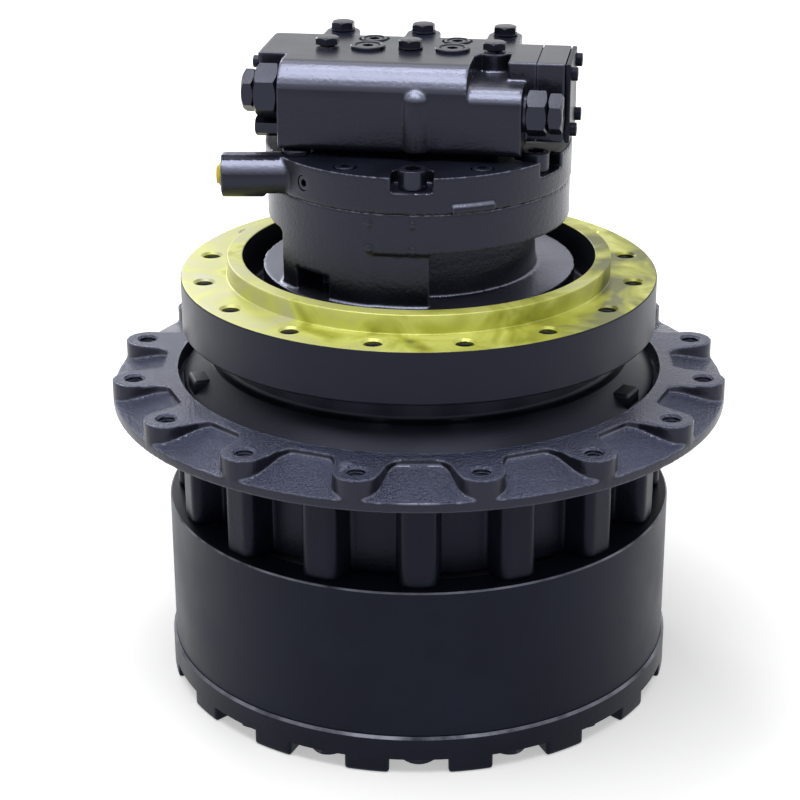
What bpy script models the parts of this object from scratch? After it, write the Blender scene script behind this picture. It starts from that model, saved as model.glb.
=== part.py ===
"""Excavator final drive: a track's travel motor, its two-stage planetary reduction and the sprocket hub.

The drive stands on its end cover, as on a bench. The mount ring at the top of the spindle bolts to the
track frame and stays still, with the travel motor and its valve block inside it. The hub, the ring gear
and the end cover turn round it on two roller bearings, and the sprocket bolts to the hub's flange.
Metres, +Z up. The origin lies on the drive's axis, level with the feet of the end cover's teeth.
"""

import math

import bmesh
import bpy
from mathutils import Matrix, Vector

PART_NAME = "excavator_final_drive"
MM = 0.001
FIT = 0.3 * MM  # clearance between pieces that seat on each other
THROUGH = 20 * MM  # how far a cutter runs past the wall that it cuts
SECTORS = 16  # lobes, columns, mount holes, cover notches: all share one pitch
PITCH = 2 * math.pi / SECTORS

# Facets: pieces that fit round each other share a count and a phase, so their gap is even all the way round
ROUND_STEPS = 32
PLATE_STEPS = 24
SMALL_STEPS = 16
SCREW_STEPS = 12
HOLE_STEPS = 8
FACET_TURN = 0.11  # turns small cylinders so that none of their corners falls on another piece's edge

# End cover
COVER_RADIUS = 260 * MM
COVER_HEIGHT = 40 * MM
COVER_CHAMFER = 2.5 * MM
COVER_TOOTH = 16 * MM
COVER_DISH_INSET = 60 * MM
COVER_DISH_DEPTH = 9 * MM
COVER_INNER_RADIUS = 186 * MM
COVER_INNER_DEPTH = 6 * MM
NOTCH_WIDTH = 57 * MM
COVER_BOLT_INSET = 29 * MM
BOLT_M20_FLATS = 30 * MM
BOLT_M20_HEAD = 12.5 * MM
NOTCH_WALL = 2.5 * MM  # from a bolt's head to the inner end of its notch
COVER_PLUG_INSET = 50 * MM
COVER_PLUG_RADIUS = 13 * MM
COVER_PLUG_HEAD_RADIUS = 18 * MM
COVER_PLUG_HEAD = 6 * MM
COVER_PLUG_FLATS = 14 * MM
THRUST_PAD_RADIUS = 32 * MM
THRUST_PAD_PROUD = 3.2 * MM

# Gears: involute teeth of 20 degrees with straight flanks
MODULE = 7 * MM
PRESSURE_ANGLE = math.radians(20)
RING_TEETH = 56
SUN_1_TEETH = 10
PLANET_1_TEETH = 23
PLANET_1_COUNT = 3
SUN_2_TEETH = 10
PLANET_2_TEETH = 23
PLANET_2_COUNT = 3
BACKLASH = 0.13 * MODULE
ROOT_FLARE = 0.8  # how much of the flank's slope carries on below the pitch circle
TIP_HEIGHT = 0.95 * MODULE
ROOT_DEPTH = 1.25 * MODULE

# Widths of the stages, from the cover up
SUN_GAP = 10 * MM
PLANET_1_WIDTH = 42 * MM
CARRIER_1_GAP = 4 * MM
CARRIER_1_THICKNESS = 16 * MM
STAGE_GAP = 4 * MM
CARRIER_2_LOWER = 12 * MM
PLANET_2_WIDTH = 52 * MM
CARRIER_2_UPPER = 26 * MM
CARRIER_1_INSET = 19 * MM  # how far the fast carrier's arms stay inside the slow carrier
CARRIER_1_WAIST = 0.72  # of the radius, between the arms
CARRIER_1_ARM_SPREAD = 25
CARRIER_1_WAIST_SPREAD = 12
CARRIER_ROOM = 5.35 * MM  # between the slow carrier and the ring's tooth tips
CARRIER_2_POST_INSET = 19 * MM
CARRIER_2_POST_RADIUS = 18 * MM
CARRIER_2_EYE = 56 * MM
PIN_1_RADIUS = 22 * MM
PIN_2_RADIUS = 25 * MM
SHAFT_RADIUS = 17 * MM
SHAFT_ROOM = 3.5 * MM
SUN_2_NECK = 42 * MM

# Ring gear housing
RING_RADIUS = 257 * MM
RING_CHAMFER = 1.5 * MM
RING_REGISTER = 8 * MM  # untoothed ends where cover and hub locate
RING_REGISTER_ROOM = 1.5 * MM  # how far the registers lie outside the tooth roots
HUB_SKIRT = 13 * MM  # how far carrier 2 reaches up into the hub

# Main bearings and their nut
SPINDLE_END_GAP = 2.5 * MM
NUT_HEIGHT = 13 * MM
NUT_WALL = 20 * MM
JOURNAL_RADIUS = 130 * MM
BEARING_WIDTH = 30 * MM
BEARING_HEIGHT = 35 * MM  # radial, from the journal to the hub's bore
RACE_WALL = 12 * MM
RACE_TAPER = 4 * MM
HUB_SHOULDER = 10 * MM
HUB_SHOULDER_STEP = 14 * MM

# Floating seals between spindle and hub
SEAL_INNER = 180 * MM
SEAL_OUTER = 198 * MM
SEAL_HEIGHT = 15.5 * MM
SEAL_FLOOR = 3 * MM

# Hub
HUB_WALL_RADIUS = 219 * MM
COLUMN_FACE = 248.5 * MM
COLUMN_WIDTH = 35 * MM
COLUMN_CORNER = 8 * MM
FLANGE_RADIUS = 310 * MM
FLANGE_THICKNESS = 30 * MM
FLANGE_EDGE = 10 * MM
FLANGE_OPENING = 244 * MM
OPENING_DEPTH = 18 * MM
VALLEY_RADIUS = 258 * MM
VALLEY_RISER = 6.5 * MM
LOBE_CIRCLE = 288 * MM
LOBE_END_RADIUS = 22 * MM
LOBE_ROOT_WIDTH = 56 * MM
M20_THREAD_RADIUS = 8.75 * MM

# Spindle: collar, neck, mount ring and pilot lip
COLLAR_GAP = 6 * MM
COLLAR_EDGE = 8 * MM
COLLAR_RUN = 2 * MM
COLLAR_TOP_RADIUS = 212 * MM
COLLAR_RISE = 23 * MM
NECK_RADIUS = 203 * MM
NECK_HEIGHT = 28.5 * MM
LUG_WIDTH = 30 * MM
LUG_REACH = 2 * MM  # inside the collar's outer radius
LUG_DROP = 7 * MM  # below the collar's upper edge
LUG_BEARINGS = (-72, 62)
MOUNT_RADIUS = 237.4 * MM
MOUNT_THICKNESS = 52.5 * MM
MOUNT_CIRCLE = 215 * MM
LIP_OUTER = 191 * MM
LIP_INNER = 175.5 * MM
LIP_HEIGHT = 19 * MM
RECESS_DEPTH = 45 * MM
SEAT_DEPTH = 35 * MM
SEAT_RADIUS = 160 * MM
SPINDLE_BORE = 114 * MM
SPINDLE_FLOOR = 54 * MM
STUB_RADIUS = 85 * MM
STUB_BORE = 50 * MM

# Travel motor, turned a little about the drive's axis
MOTOR_TURN = -8.1
SPINDLE_PHASE = -math.radians(MOTOR_TURN)  # lines the motor's facets up with the spindle's
CASE_FLANGE_RADIUS = 155 * MM
CASE_FLANGE = 25 * MM
CASE_LEDGE = 33.5 * MM
CASE_BARREL_HEIGHT = 53 * MM
CASE_DISC_RADIUS = 148.5 * MM
CASE_DISC_HEIGHT = 39 * MM
CASE_WALL = 17 * MM
CASE_FLOOR = 18 * MM
BULGE_INSET = 28.5 * MM
BULGE_END = 12
BULGE_START = -110
POCKET_START = -44
POCKET_END = -27
POCKET_HEIGHT = 24 * MM
HEAD_PROUD = 1.5 * MM
HEAD_HEIGHT = 34 * MM
HEAD_SCREWS = 6
HEAD_SCREW_INSET = 19 * MM
HEAD_SCREW_START = 5.6
HEAD_SCREW_RADIUS = 9 * MM
HEAD_SCREW_HEAD_RADIUS = 13.5 * MM
HEAD_SCREW_HEAD = 18 * MM
HEAD_SCREW_GRIP = 22 * MM
HEAD_NOTCH_WIDTH = 40 * MM
HEAD_NOTCH_DEPTH = 13 * MM
SOCKET_DEPTH = 8 * MM
ARM_TURN = 8.1
ARM_RADIUS = 21.5 * MM
ARM_LEVEL = 14.5 * MM
ARM_OFFSET = 64 * MM
ARM_LENGTH = 187.5 * MM
ARM_BORE = 9.3 * MM
ARM_BORE_DEPTH = 30 * MM
ARM_PLUG_STEM = 20 * MM
ARM_PLUG_PROUD = 5 * MM
ARM_PLUG_FLANGE = 11 * MM
SIDE_PLUG_ANGLE = -38.4
SIDE_PLUG_LEVEL = 17 * MM
SIDE_PLUG_RADIUS = 7.5 * MM
SIDE_PLUG_LENGTH = 14 * MM

# Motor's inside
BLOCK_ROOM = 10 * MM
BLOCK_BORES = 9
BLOCK_BORE_SHARE = 0.36
BLOCK_BORE_END = 40 * MM  # from the bores' ends to the block's face
VALVE_PLATE_HEIGHT = 11 * MM
SWASH_SHARE = 0.505  # of the case's cavity
SWASH_SLIMNESS = 1.21
SWASH_GAP = 22 * MM  # from the tilted face's high edge to the cylinder block
SWASH_TILT = 15
SWASH_EYE_SHARE = 2 / 3
BRAKE_HEIGHT = 25 * MM
BRAKE_WALL = 16 * MM
BRAKE_TRAVEL = 3 * MM
BRAKE_REST = 18 * MM  # below the case's rim

# Valve block, in the motor's turned frame: U to the right, V to the rear
VALVE_HEIGHT = 76 * MM
PEDESTAL_HEIGHT = 11 * MM
PEDESTAL_FRONT = 60 * MM
PEDESTAL_REAR = 50 * MM
PEDESTAL_LEFT_GAP = 36 * MM
PEDESTAL_RIGHT_GAP = 46 * MM
VALVE_LEFT = -151 * MM
VALVE_RIGHT = 94 * MM
VALVE_REAR = 51 * MM
VALVE_NOTCH = -123 * MM
VALVE_FRONT_EDGE = -28 * MM
VALVE_NOTCH_EDGE = -37 * MM
BODY_LEFT = -123 * MM
BODY_STEP = 57 * MM
BODY_RIGHT = 108 * MM
BODY_FRONT = -88 * MM
BODY_BACK = -24 * MM
BODY_EDGE_RADIUS = 20 * MM
BODY_FOOT_RADIUS = 12 * MM
BODY_FOOT_DROP = 4 * MM
STEP_DROP = 18 * MM
STEP_EDGE_RADIUS = 13 * MM
RIB_CENTRE = 9 * MM
RIB_RADIUS = 13 * MM
RIB_PROUD = 10 * MM
REAR_BLOCK_LAP = 3 * MM  # of the plate
REAR_BLOCK_RIGHT = 145 * MM
REAR_BLOCK_FRONT = -46 * MM
REAR_BLOCK_REAR = 35 * MM
SIDE_COVER_THICKNESS = 5 * MM
SIDE_SCREW_RADIUS = 6.5 * MM
SIDE_SCREW_HEAD = 6 * MM
SIDE_SCREW_INSET = 11 * MM
VALVE_BOLT_REAR = 44 * MM
VALVE_BOLT_FRONT = -25 * MM
VALVE_BOLT_LEFT = -81.3 * MM
VALVE_BOLT_MIDDLE = -1 * MM
VALVE_BOLT_RIGHT = 79.4 * MM
VALVE_BOLT_FLATS = 22 * MM
VALVE_BOLT_HEAD = 13 * MM
VALVE_BOLT_RADIUS = 7 * MM
VALVE_BOLT_GRIP = 34 * MM
BOLT_LOBE_RADIUS = 21 * MM
BOLT_BOSS_RADIUS = 16.5 * MM
PORT_LEFT = -49 * MM
PORT_RIGHT = 33 * MM
FRONT_PORT_ROW = -3 * MM
FRONT_PORT_RADIUS = 17 * MM
FRONT_PORT_PROUD = 3 * MM
REAR_PORT_ROW = 36 * MM
REAR_PORT_RADIUS = 13 * MM
REAR_PORT_PROUD = 1 * MM
PORT_PLUG_DEPTH = 14 * MM
PORT_SOCKET_FLATS = 10 * MM
SPOOL_ROW = -62 * MM
SPOOL_LEVEL = 45 * MM
SPOOL_RADIUS = 12 * MM
SPOOL_LENGTH = 130 * MM
SPOOL_TRAVEL = 8 * MM
SPOOL_BORE_END = 45 * MM
SPOOL_GROOVE = 4 * MM
SPOOL_LANDS = 6
END_PLUG_FLATS = 46 * MM
END_PLUG_LENGTH = 23 * MM
END_PLUG_STEM = 17 * MM
END_PLUG_STEM_LENGTH = 14 * MM
END_CAP_FLATS = 36 * MM
END_CAP_LENGTH = 12 * MM
TEST_PLUG_FLATS = 17 * MM
TEST_PLUG_LENGTH = 27 * MM
TEST_PLUG_ROW = -52 * MM
TEST_PLUG_LEVEL = 8 * MM
TEST_PLUG_STEM = 5 * MM
TEST_PLUG_STEM_LENGTH = 10 * MM
GAUGE_PLUG_RADIUS = 6 * MM
GAUGE_PLUG_ROW = -29 * MM
GAUGE_PLUG_DROP = 11 * MM
GAUGE_PLUG_PROUD = 5 * MM
RELIEF_ROW = -65.5 * MM
RELIEF_LEVEL = 33 * MM
RELIEF_FLATS = 38 * MM
RELIEF_LENGTH = 20 * MM
RELIEF_STEM = 14 * MM
RELIEF_STEM_LENGTH = 24 * MM
RELIEF_CAP_FLATS = 34 * MM
RELIEF_CAP_LENGTH = 14 * MM
RELIEF_WASHER = 3 * MM

# Sizes that follow from others across the drive
COVER_DISH_RADIUS = COVER_RADIUS - COVER_DISH_INSET
COVER_BOLT_CIRCLE = COVER_RADIUS - COVER_BOLT_INSET
COVER_PLUG_CIRCLE = COVER_DISH_RADIUS - COVER_PLUG_INSET
CASE_BARREL_RADIUS = CASE_DISC_RADIUS - CASE_LEDGE
CASE_CAVITY_RADIUS = CASE_BARREL_RADIUS - CASE_WALL
BULGE_SIDE = CASE_DISC_RADIUS - BULGE_INSET
HEAD_RADIUS = CASE_DISC_RADIUS + HEAD_PROUD
HEAD_SCREW_CIRCLE = HEAD_RADIUS - HEAD_SCREW_INSET
BLOCK_RADIUS = CASE_CAVITY_RADIUS - BRAKE_WALL - BLOCK_ROOM
BLOCK_BORE_CIRCLE = (SHAFT_RADIUS + BLOCK_RADIUS) / 2
BLOCK_BORE_RADIUS = (BLOCK_RADIUS - SHAFT_RADIUS) / 2 * BLOCK_BORE_SHARE
SWASH_RADIUS = CASE_CAVITY_RADIUS * SWASH_SHARE
SWASH_WIDTH = 2 * SWASH_RADIUS * SWASH_SLIMNESS
SWASH_EYE = SWASH_RADIUS * SWASH_EYE_SHARE
PEDESTAL_LEFT = HEAD_SCREW_CIRCLE - PEDESTAL_LEFT_GAP
PEDESTAL_RIGHT = HEAD_SCREW_CIRCLE - PEDESTAL_RIGHT_GAP
VALVE_BOLT_ROWS = (VALVE_BOLT_REAR, VALVE_BOLT_FRONT)
VALVE_BOLT_COLUMNS = (VALVE_BOLT_LEFT, VALVE_BOLT_MIDDLE, VALVE_BOLT_RIGHT)
PORT_COLUMNS = (PORT_LEFT, PORT_RIGHT)

# Levels up the drive's axis, each from the one below
Z_DISH = COVER_DISH_DEPTH
Z_COVER_TOP = COVER_HEIGHT
Z_THRUST_PAD = Z_COVER_TOP + THRUST_PAD_PROUD
Z_PLANET_1 = Z_COVER_TOP + SUN_GAP
Z_PLANET_1_TOP = Z_PLANET_1 + PLANET_1_WIDTH
Z_CARRIER_1 = Z_PLANET_1_TOP + CARRIER_1_GAP
Z_CARRIER_1_TOP = Z_CARRIER_1 + CARRIER_1_THICKNESS
Z_CARRIER_2 = Z_CARRIER_1_TOP + STAGE_GAP
Z_CARRIER_2_WINDOW = Z_CARRIER_2 + CARRIER_2_LOWER
Z_CARRIER_2_PLATE = Z_CARRIER_2_WINDOW + PLANET_2_WIDTH + 2 * FIT
Z_CARRIER_2_TOP = Z_CARRIER_2_PLATE + CARRIER_2_UPPER
Z_RING_TOP = Z_CARRIER_2_TOP - HUB_SKIRT
Z_SPINDLE_END = Z_CARRIER_2_TOP + SPINDLE_END_GAP
Z_NUT_TOP = Z_SPINDLE_END + NUT_HEIGHT
Z_LOWER_BEARING = Z_NUT_TOP + FIT
Z_HUB_SHOULDER = Z_LOWER_BEARING + BEARING_WIDTH + FIT
Z_UPPER_BEARING = Z_HUB_SHOULDER + HUB_SHOULDER + FIT
Z_JOURNAL_TOP = Z_UPPER_BEARING + BEARING_WIDTH + FIT
Z_HUB_SEAL_SEAT = Z_JOURNAL_TOP + SEAL_FLOOR
Z_SEAL_FACE = Z_HUB_SEAL_SEAT + FIT + SEAL_HEIGHT
Z_SPINDLE_SEAL_SEAT = Z_SEAL_FACE + FIT + SEAL_HEIGHT + FIT
Z_FLANGE_TOP = Z_SEAL_FACE + OPENING_DEPTH
Z_FLANGE_UNDER = Z_FLANGE_TOP - FLANGE_THICKNESS
Z_COLLAR = Z_SEAL_FACE + COLLAR_RUN
Z_COLLAR_EDGE = Z_COLLAR + COLLAR_EDGE
Z_NECK = Z_COLLAR_EDGE + COLLAR_RISE
Z_MOUNT_UNDER = Z_NECK + NECK_HEIGHT
Z_MOUNT_TOP = Z_MOUNT_UNDER + MOUNT_THICKNESS
Z_LIP_TOP = Z_MOUNT_TOP + LIP_HEIGHT
Z_CASE_SEAT = Z_LIP_TOP - SEAT_DEPTH
Z_CASE_FLANGE_TOP = Z_CASE_SEAT + FIT + CASE_FLANGE
Z_CASE_DISC = Z_CASE_FLANGE_TOP + CASE_BARREL_HEIGHT
Z_CASE_TOP = Z_CASE_DISC + CASE_DISC_HEIGHT
Z_HEAD_TOP = Z_CASE_TOP + FIT + HEAD_HEIGHT
Z_SPINDLE_FLOOR = Z_SPINDLE_END + SPINDLE_FLOOR
Z_CASE_FLOOR = Z_SPINDLE_FLOOR + FIT + CASE_FLOOR
Z_VALVE = Z_HEAD_TOP + FIT + PEDESTAL_HEIGHT
Z_BODY_FOOT = Z_VALVE - BODY_FOOT_DROP
Z_VALVE_TOP = Z_VALVE + VALVE_HEIGHT
Z_BLOCK_TOP = Z_CASE_TOP - VALVE_PLATE_HEIGHT - FIT
Z_SWASH = Z_CASE_FLOOR + FIT + SWASH_RADIUS
Z_BLOCK = Z_SWASH + SWASH_RADIUS * math.sin(math.radians(SWASH_TILT)) + SWASH_GAP

# Radii that follow from others
RING_PITCH_RADIUS = RING_TEETH * MODULE / 2
ORBIT_1 = (SUN_1_TEETH + PLANET_1_TEETH) * MODULE / 2
ORBIT_2 = (SUN_2_TEETH + PLANET_2_TEETH) * MODULE / 2
RING_REGISTER_RADIUS = RING_PITCH_RADIUS + ROOT_DEPTH + RING_REGISTER_ROOM
CARRIER_2_RADIUS = RING_PITCH_RADIUS - TIP_HEIGHT - CARRIER_ROOM
CARRIER_2_POST_CIRCLE = CARRIER_2_RADIUS - CARRIER_2_POST_INSET
CARRIER_1_RADIUS = CARRIER_2_RADIUS - CARRIER_1_INSET
HUB_BORE = JOURNAL_RADIUS + BEARING_HEIGHT
SUN_2_BORE = SHAFT_RADIUS + SHAFT_ROOM

CAST_PAINT = ("navy enamel on cast iron", (0.045, 0.05, 0.075), 0.0, 0.38)
BAND_PAINT = ("navy enamel on turned steel", (0.05, 0.055, 0.085), 0.0, 0.3)
CHROMATE = ("yellow-green chromate on machined steel", (0.45, 0.47, 0.08), 0.85, 0.35)
GROUND_STEEL = ("ground steel", (0.55, 0.56, 0.58), 1.0, 0.3)
GEAR_STEEL = ("hardened gear steel", (0.32, 0.32, 0.34), 1.0, 0.4)
BRONZE = ("bronze", (0.6, 0.42, 0.18), 1.0, 0.35)
PLUG_PLASTIC = ("yellow shipping plug", (0.85, 0.75, 0.05), 0.0, 0.5)


def clear_scene():
    """Remove whatever the startup file holds."""
    for found in list(bpy.data.objects):
        bpy.data.objects.remove(found, do_unlink=True)


def new_collection(name):
    """Make a collection in the scene."""
    made = bpy.data.collections.new(name)
    bpy.context.scene.collection.children.link(made)
    return made


def material(finish):
    """Return the Principled material of a (name, colour, metallic, roughness) finish."""
    name, colour, metallic, roughness = finish
    made = bpy.data.materials.get(name)
    if made:
        return made
    made = bpy.data.materials.new(name)
    made.use_nodes = True
    made.diffuse_color = (*colour, 1)
    shader = made.node_tree.nodes["Principled BSDF"]
    shader.inputs["Base Color"].default_value = (*colour, 1)
    shader.inputs["Metallic"].default_value = metallic
    shader.inputs["Roughness"].default_value = roughness
    return made


def add_part(name, mesh, finish, parent=None, at=(0, 0, 0)):
    """Add a mesh to the assembly as one named piece."""
    piece = bpy.data.objects.new(name, mesh)
    mesh.materials.clear()
    mesh.materials.append(material(finish))
    mesh.shade_smooth()
    mesh.set_sharp_from_angle(angle=math.radians(35))
    bpy.data.collections[PART_NAME].objects.link(piece)
    piece.location = at
    piece.parent = parent
    return piece


def add_helper(name, mesh, parent=None):
    """Add a mesh that only cuts or joins: it isn't a piece of the drive."""
    helper = bpy.data.objects.new(name, mesh)
    bpy.data.collections["cutters"].objects.link(helper)
    helper.hide_render = True
    helper.display_type = "WIRE"
    helper.parent = parent
    return helper


def boolean(piece, operation, mesh):
    """Cut a mesh from a piece, or join it on, in the piece's own frame."""
    helper = add_helper(f"{piece.name} {operation.lower()}", mesh, piece.parent)
    helper.location = piece.location
    step = piece.modifiers.new(helper.name, "BOOLEAN")
    step.operation = operation
    step.object = helper
    step.solver = "EXACT"


def cut(piece, mesh):
    """Cut a mesh from a piece."""
    boolean(piece, "DIFFERENCE", mesh)


def join(piece, mesh):
    """Join a mesh on to a piece."""
    boolean(piece, "UNION", mesh)


def evaluated_mesh(piece):
    """Return a piece's mesh with its modifiers applied, and remove the piece."""
    bpy.context.view_layer.update()
    graph = bpy.context.evaluated_depsgraph_get()
    mesh = bpy.data.meshes.new_from_object(piece.evaluated_get(graph))
    bpy.data.objects.remove(piece, do_unlink=True)
    return mesh


def turned_mesh(profile, steps=ROUND_STEPS, turn=0.0):
    """Turn a closed profile of (radius, height) points, listed down its outer side, into a solid."""
    mesh = bpy.data.meshes.new("turned")
    shape = bmesh.new()
    points = [shape.verts.new((radius, 0, height)) for radius, height in profile]
    open_ends = profile[0][0] == 0 and profile[-1][0] == 0
    for first, second in zip(points, points[1:] + ([] if open_ends else points[:1])):
        shape.edges.new((first, second))
    shape.to_mesh(mesh)
    shape.free()
    blank = add_helper("turned", mesh)
    screw = blank.modifiers.new("turn", "SCREW")
    screw.steps = steps
    screw.render_steps = steps
    screw.use_merge_vertices = True
    screw.merge_threshold = 0.00001
    return placed(evaluated_mesh(blank), Matrix.Rotation(turn, 4, "Z"))


def prism_mesh(outlines, low, high):
    """Extrude flat outlines, the first round the others as holes, from one height to another."""
    curve = bpy.data.curves.new("outline", "CURVE")
    curve.dimensions = "2D"
    curve.fill_mode = "BOTH"
    curve.extrude = (high - low) / 2
    for outline in outlines:
        spline = curve.splines.new("POLY")
        spline.points.add(len(outline) - 1)
        for point, (x, y) in zip(spline.points, outline):
            point.co = (x, y, 0, 1)
        spline.use_cyclic_u = True
    blank = bpy.data.objects.new("outline", curve)
    bpy.data.collections["cutters"].objects.link(blank)
    mesh = evaluated_mesh(blank)
    bpy.data.curves.remove(curve)
    shape = bmesh.new()
    shape.from_mesh(mesh)
    bmesh.ops.remove_doubles(shape, verts=shape.verts, dist=0.000005)
    bmesh.ops.recalc_face_normals(shape, faces=shape.faces)
    bmesh.ops.translate(shape, verts=shape.verts, vec=(0, 0, (low + high) / 2))
    shape.to_mesh(mesh)
    shape.free()
    return mesh


def cylinder(shape, start, end, radius, steps=SMALL_STEPS, end_radius=None):
    """Add a cylinder, or a cone, between two points to a bmesh."""
    if tuple(start) > tuple(end):
        start, end, radius, end_radius = end, start, radius if end_radius is None else end_radius, radius
    start, end = Vector(start), Vector(end)
    along = end - start
    turn = Matrix.Rotation(0 if steps == 6 else FACET_TURN, 4, "Z")
    place = Matrix.Translation((start + end) / 2) @ along.to_track_quat("Z", "Y").to_matrix().to_4x4() @ turn
    bmesh.ops.create_cone(
        shape,
        cap_ends=True,
        segments=steps,
        radius1=radius,
        radius2=radius if end_radius is None else end_radius,
        depth=along.length,
        matrix=place,
    )


def box(shape, low, high, turn=0.0):
    """Add a box between two corners to a bmesh, turned about Z afterwards."""
    low, high = Vector(low), Vector(high)
    size = high - low
    scale = Matrix.Diagonal((*size, 1))
    place = Matrix.Rotation(turn, 4, "Z") @ Matrix.Translation((low + high) / 2) @ scale
    bmesh.ops.create_cube(shape, size=1, matrix=place)


def finished(shape):
    """Turn a bmesh into a mesh."""
    mesh = bpy.data.meshes.new("shape")
    shape.to_mesh(mesh)
    shape.free()
    return mesh


def cylinder_mesh(start, end, radius, steps=SMALL_STEPS, end_radius=None):
    """Make one cylinder or cone."""
    shape = bmesh.new()
    cylinder(shape, start, end, radius, steps, end_radius)
    return finished(shape)


def box_mesh(low, high, turn=0.0):
    """Make one box."""
    shape = bmesh.new()
    box(shape, low, high, turn)
    return finished(shape)


def placed(mesh, place):
    """Move a mesh's points by a matrix."""
    mesh.transform(place)
    return mesh


def polar(radius, angle):
    """Return the (x, y) point at a radius and an angle in radians."""
    return radius * math.cos(angle), radius * math.sin(angle)


def front_angle(degrees):
    """Return the plane angle in radians of a bearing counted from the front, towards +X."""
    return math.radians(degrees - 90)


def sector_angles(offset=0.0):
    """Return the angles of the 16 sectors, the first at the front."""
    return [front_angle(0) + (index + offset) * PITCH for index in range(SECTORS)]


def hexagon_radius(flats):
    """Return the corner radius of a hexagon of this width across its flats."""
    return flats / math.sqrt(3)


def arc(centre, radius, start, end, steps):
    """Return the points of an arc, ends included."""
    turns = [start + (end - start) * index / steps for index in range(steps + 1)]
    return [(centre[0] + radius * math.cos(turn), centre[1] + radius * math.sin(turn)) for turn in turns]


def circle(radius, steps):
    """Return a round outline, turned off the corners of turned pieces."""
    return [polar(radius, FACET_TURN / 2 + 2 * math.pi * index / steps) for index in range(steps)]


def involute(angle):
    """Return the involute function of an angle."""
    return math.tan(angle) - angle


def half_tooth(teeth, radius, backlash):
    """Return half a tooth's angle at a radius, for an external gear of this many teeth."""
    pitch_radius = teeth * MODULE / 2
    base_radius = pitch_radius * math.cos(PRESSURE_ANGLE)
    here = math.acos(min(1.0, base_radius / radius))
    at_pitch = math.pi / (2 * teeth) - backlash / (2 * pitch_radius)
    return at_pitch + involute(PRESSURE_ANGLE) - involute(here)


def gear_outline(teeth, inner, outer, phase, backlash):
    """Return a toothed outline between two radii, with one tooth's middle at the phase angle."""
    pitch_radius = teeth * MODULE / 2
    pitch_half = half_tooth(teeth, pitch_radius, backlash)
    tip_half = half_tooth(teeth, outer, backlash)
    slope = (pitch_half - tip_half) / (outer - pitch_radius)
    root_half = pitch_half + slope * (pitch_radius - inner) * ROOT_FLARE
    points = []
    for index in range(teeth):
        middle = phase + 2 * math.pi * index / teeth
        points.append(polar(inner, middle - root_half))
        points.append(polar(outer, middle - tip_half))
        points.append(polar(outer, middle + tip_half))
        points.append(polar(inner, middle + root_half))
    return points


def external_gear(teeth, phase):
    """Return the outline of a gear with teeth outside."""
    pitch_radius = teeth * MODULE / 2
    return gear_outline(teeth, pitch_radius - ROOT_DEPTH, pitch_radius + TIP_HEIGHT, phase, BACKLASH)


def ring_space(phase):
    """Return the outline of the ring gear's toothed opening, with a tooth of the ring at the phase."""
    half_pitch = math.pi / RING_TEETH
    inner = RING_PITCH_RADIUS - TIP_HEIGHT
    outer = RING_PITCH_RADIUS + ROOT_DEPTH
    return gear_outline(RING_TEETH, inner, outer, phase + half_pitch, -BACKLASH / 2)


def planet_bearings(count, start):
    """Return the angles of a stage's planets."""
    return [start + 2 * math.pi * index / count for index in range(count)]


def planet_phase(teeth, bearing):
    """Return the phase at which a planet at this bearing meshes with the ring, whose tooth is at 0."""
    return bearing - (RING_TEETH * bearing - math.pi) / teeth


def sun_phase(teeth, planet_teeth, bearing):
    """Return the phase at which a sun meshes with a planet that meshes with the ring."""
    return ((RING_TEETH + teeth) * bearing + planet_teeth * math.pi) / teeth


STAGE_1_START = front_angle(60)
STAGE_2_START = front_angle(30)


def ring_profile(inner, outer, low, high):
    """Return the profile of a plain ring."""
    return [(outer, high), (outer, low), (inner, low), (inner, high)]


def build_end_cover():
    """The castellated cover that closes the gear train, with its 16 bolts in the notches."""
    register = RING_REGISTER_RADIUS - FIT
    inner_floor = COVER_HEIGHT - COVER_INNER_DEPTH
    profile = [
        (0, inner_floor),
        (COVER_INNER_RADIUS, inner_floor),
        (COVER_INNER_RADIUS, Z_COVER_TOP + RING_REGISTER - FIT),
        (register, Z_COVER_TOP + RING_REGISTER - FIT),
        (register, Z_COVER_TOP),
        (COVER_RADIUS - COVER_CHAMFER, Z_COVER_TOP),
        (COVER_RADIUS, Z_COVER_TOP - COVER_CHAMFER),
        (COVER_RADIUS, 0),
        (COVER_DISH_RADIUS + COVER_DISH_DEPTH, 0),
        (COVER_DISH_RADIUS, Z_DISH),
        (0, Z_DISH),
    ]
    cover = add_part("end_cover", turned_mesh(profile), CAST_PAINT)
    join(cover, cylinder_mesh((0, 0, Z_DISH * 2), (0, 0, Z_THRUST_PAD), THRUST_PAD_RADIUS, SCREW_STEPS))
    notch_end = COVER_BOLT_CIRCLE - hexagon_radius(BOLT_M20_FLATS) - NOTCH_WALL
    notches = bmesh.new()
    for angle in sector_angles():
        low = (notch_end, -NOTCH_WIDTH / 2, -THROUGH)
        high = (COVER_RADIUS + THROUGH, NOTCH_WIDTH / 2, COVER_TOOTH)
        box(notches, low, high, angle)
    cut(cover, finished(notches))
    bolts = bmesh.new()
    for angle in sector_angles():
        x, y = polar(COVER_BOLT_CIRCLE, angle)
        top = COVER_TOOTH + BOLT_M20_HEAD / 2
        cylinder(bolts, (x, y, top), (x, y, COVER_TOOTH - BOLT_M20_HEAD), hexagon_radius(BOLT_M20_FLATS), 6)
    join(cover, finished(bolts))
    plug_holes = bmesh.new()
    for angle in cover_plug_angles():
        x, y = polar(COVER_PLUG_CIRCLE, angle)
        end = (x, y, COVER_HEIGHT + THROUGH)
        cylinder(plug_holes, (x, y, -THROUGH), end, COVER_PLUG_RADIUS + FIT, SCREW_STEPS)
    cut(cover, finished(plug_holes))


def cover_plug_angles():
    """Return the angles of the cover's level, fill and drain plugs."""
    return [front_angle(90 * index) for index in (0, 1, 3)]


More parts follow.
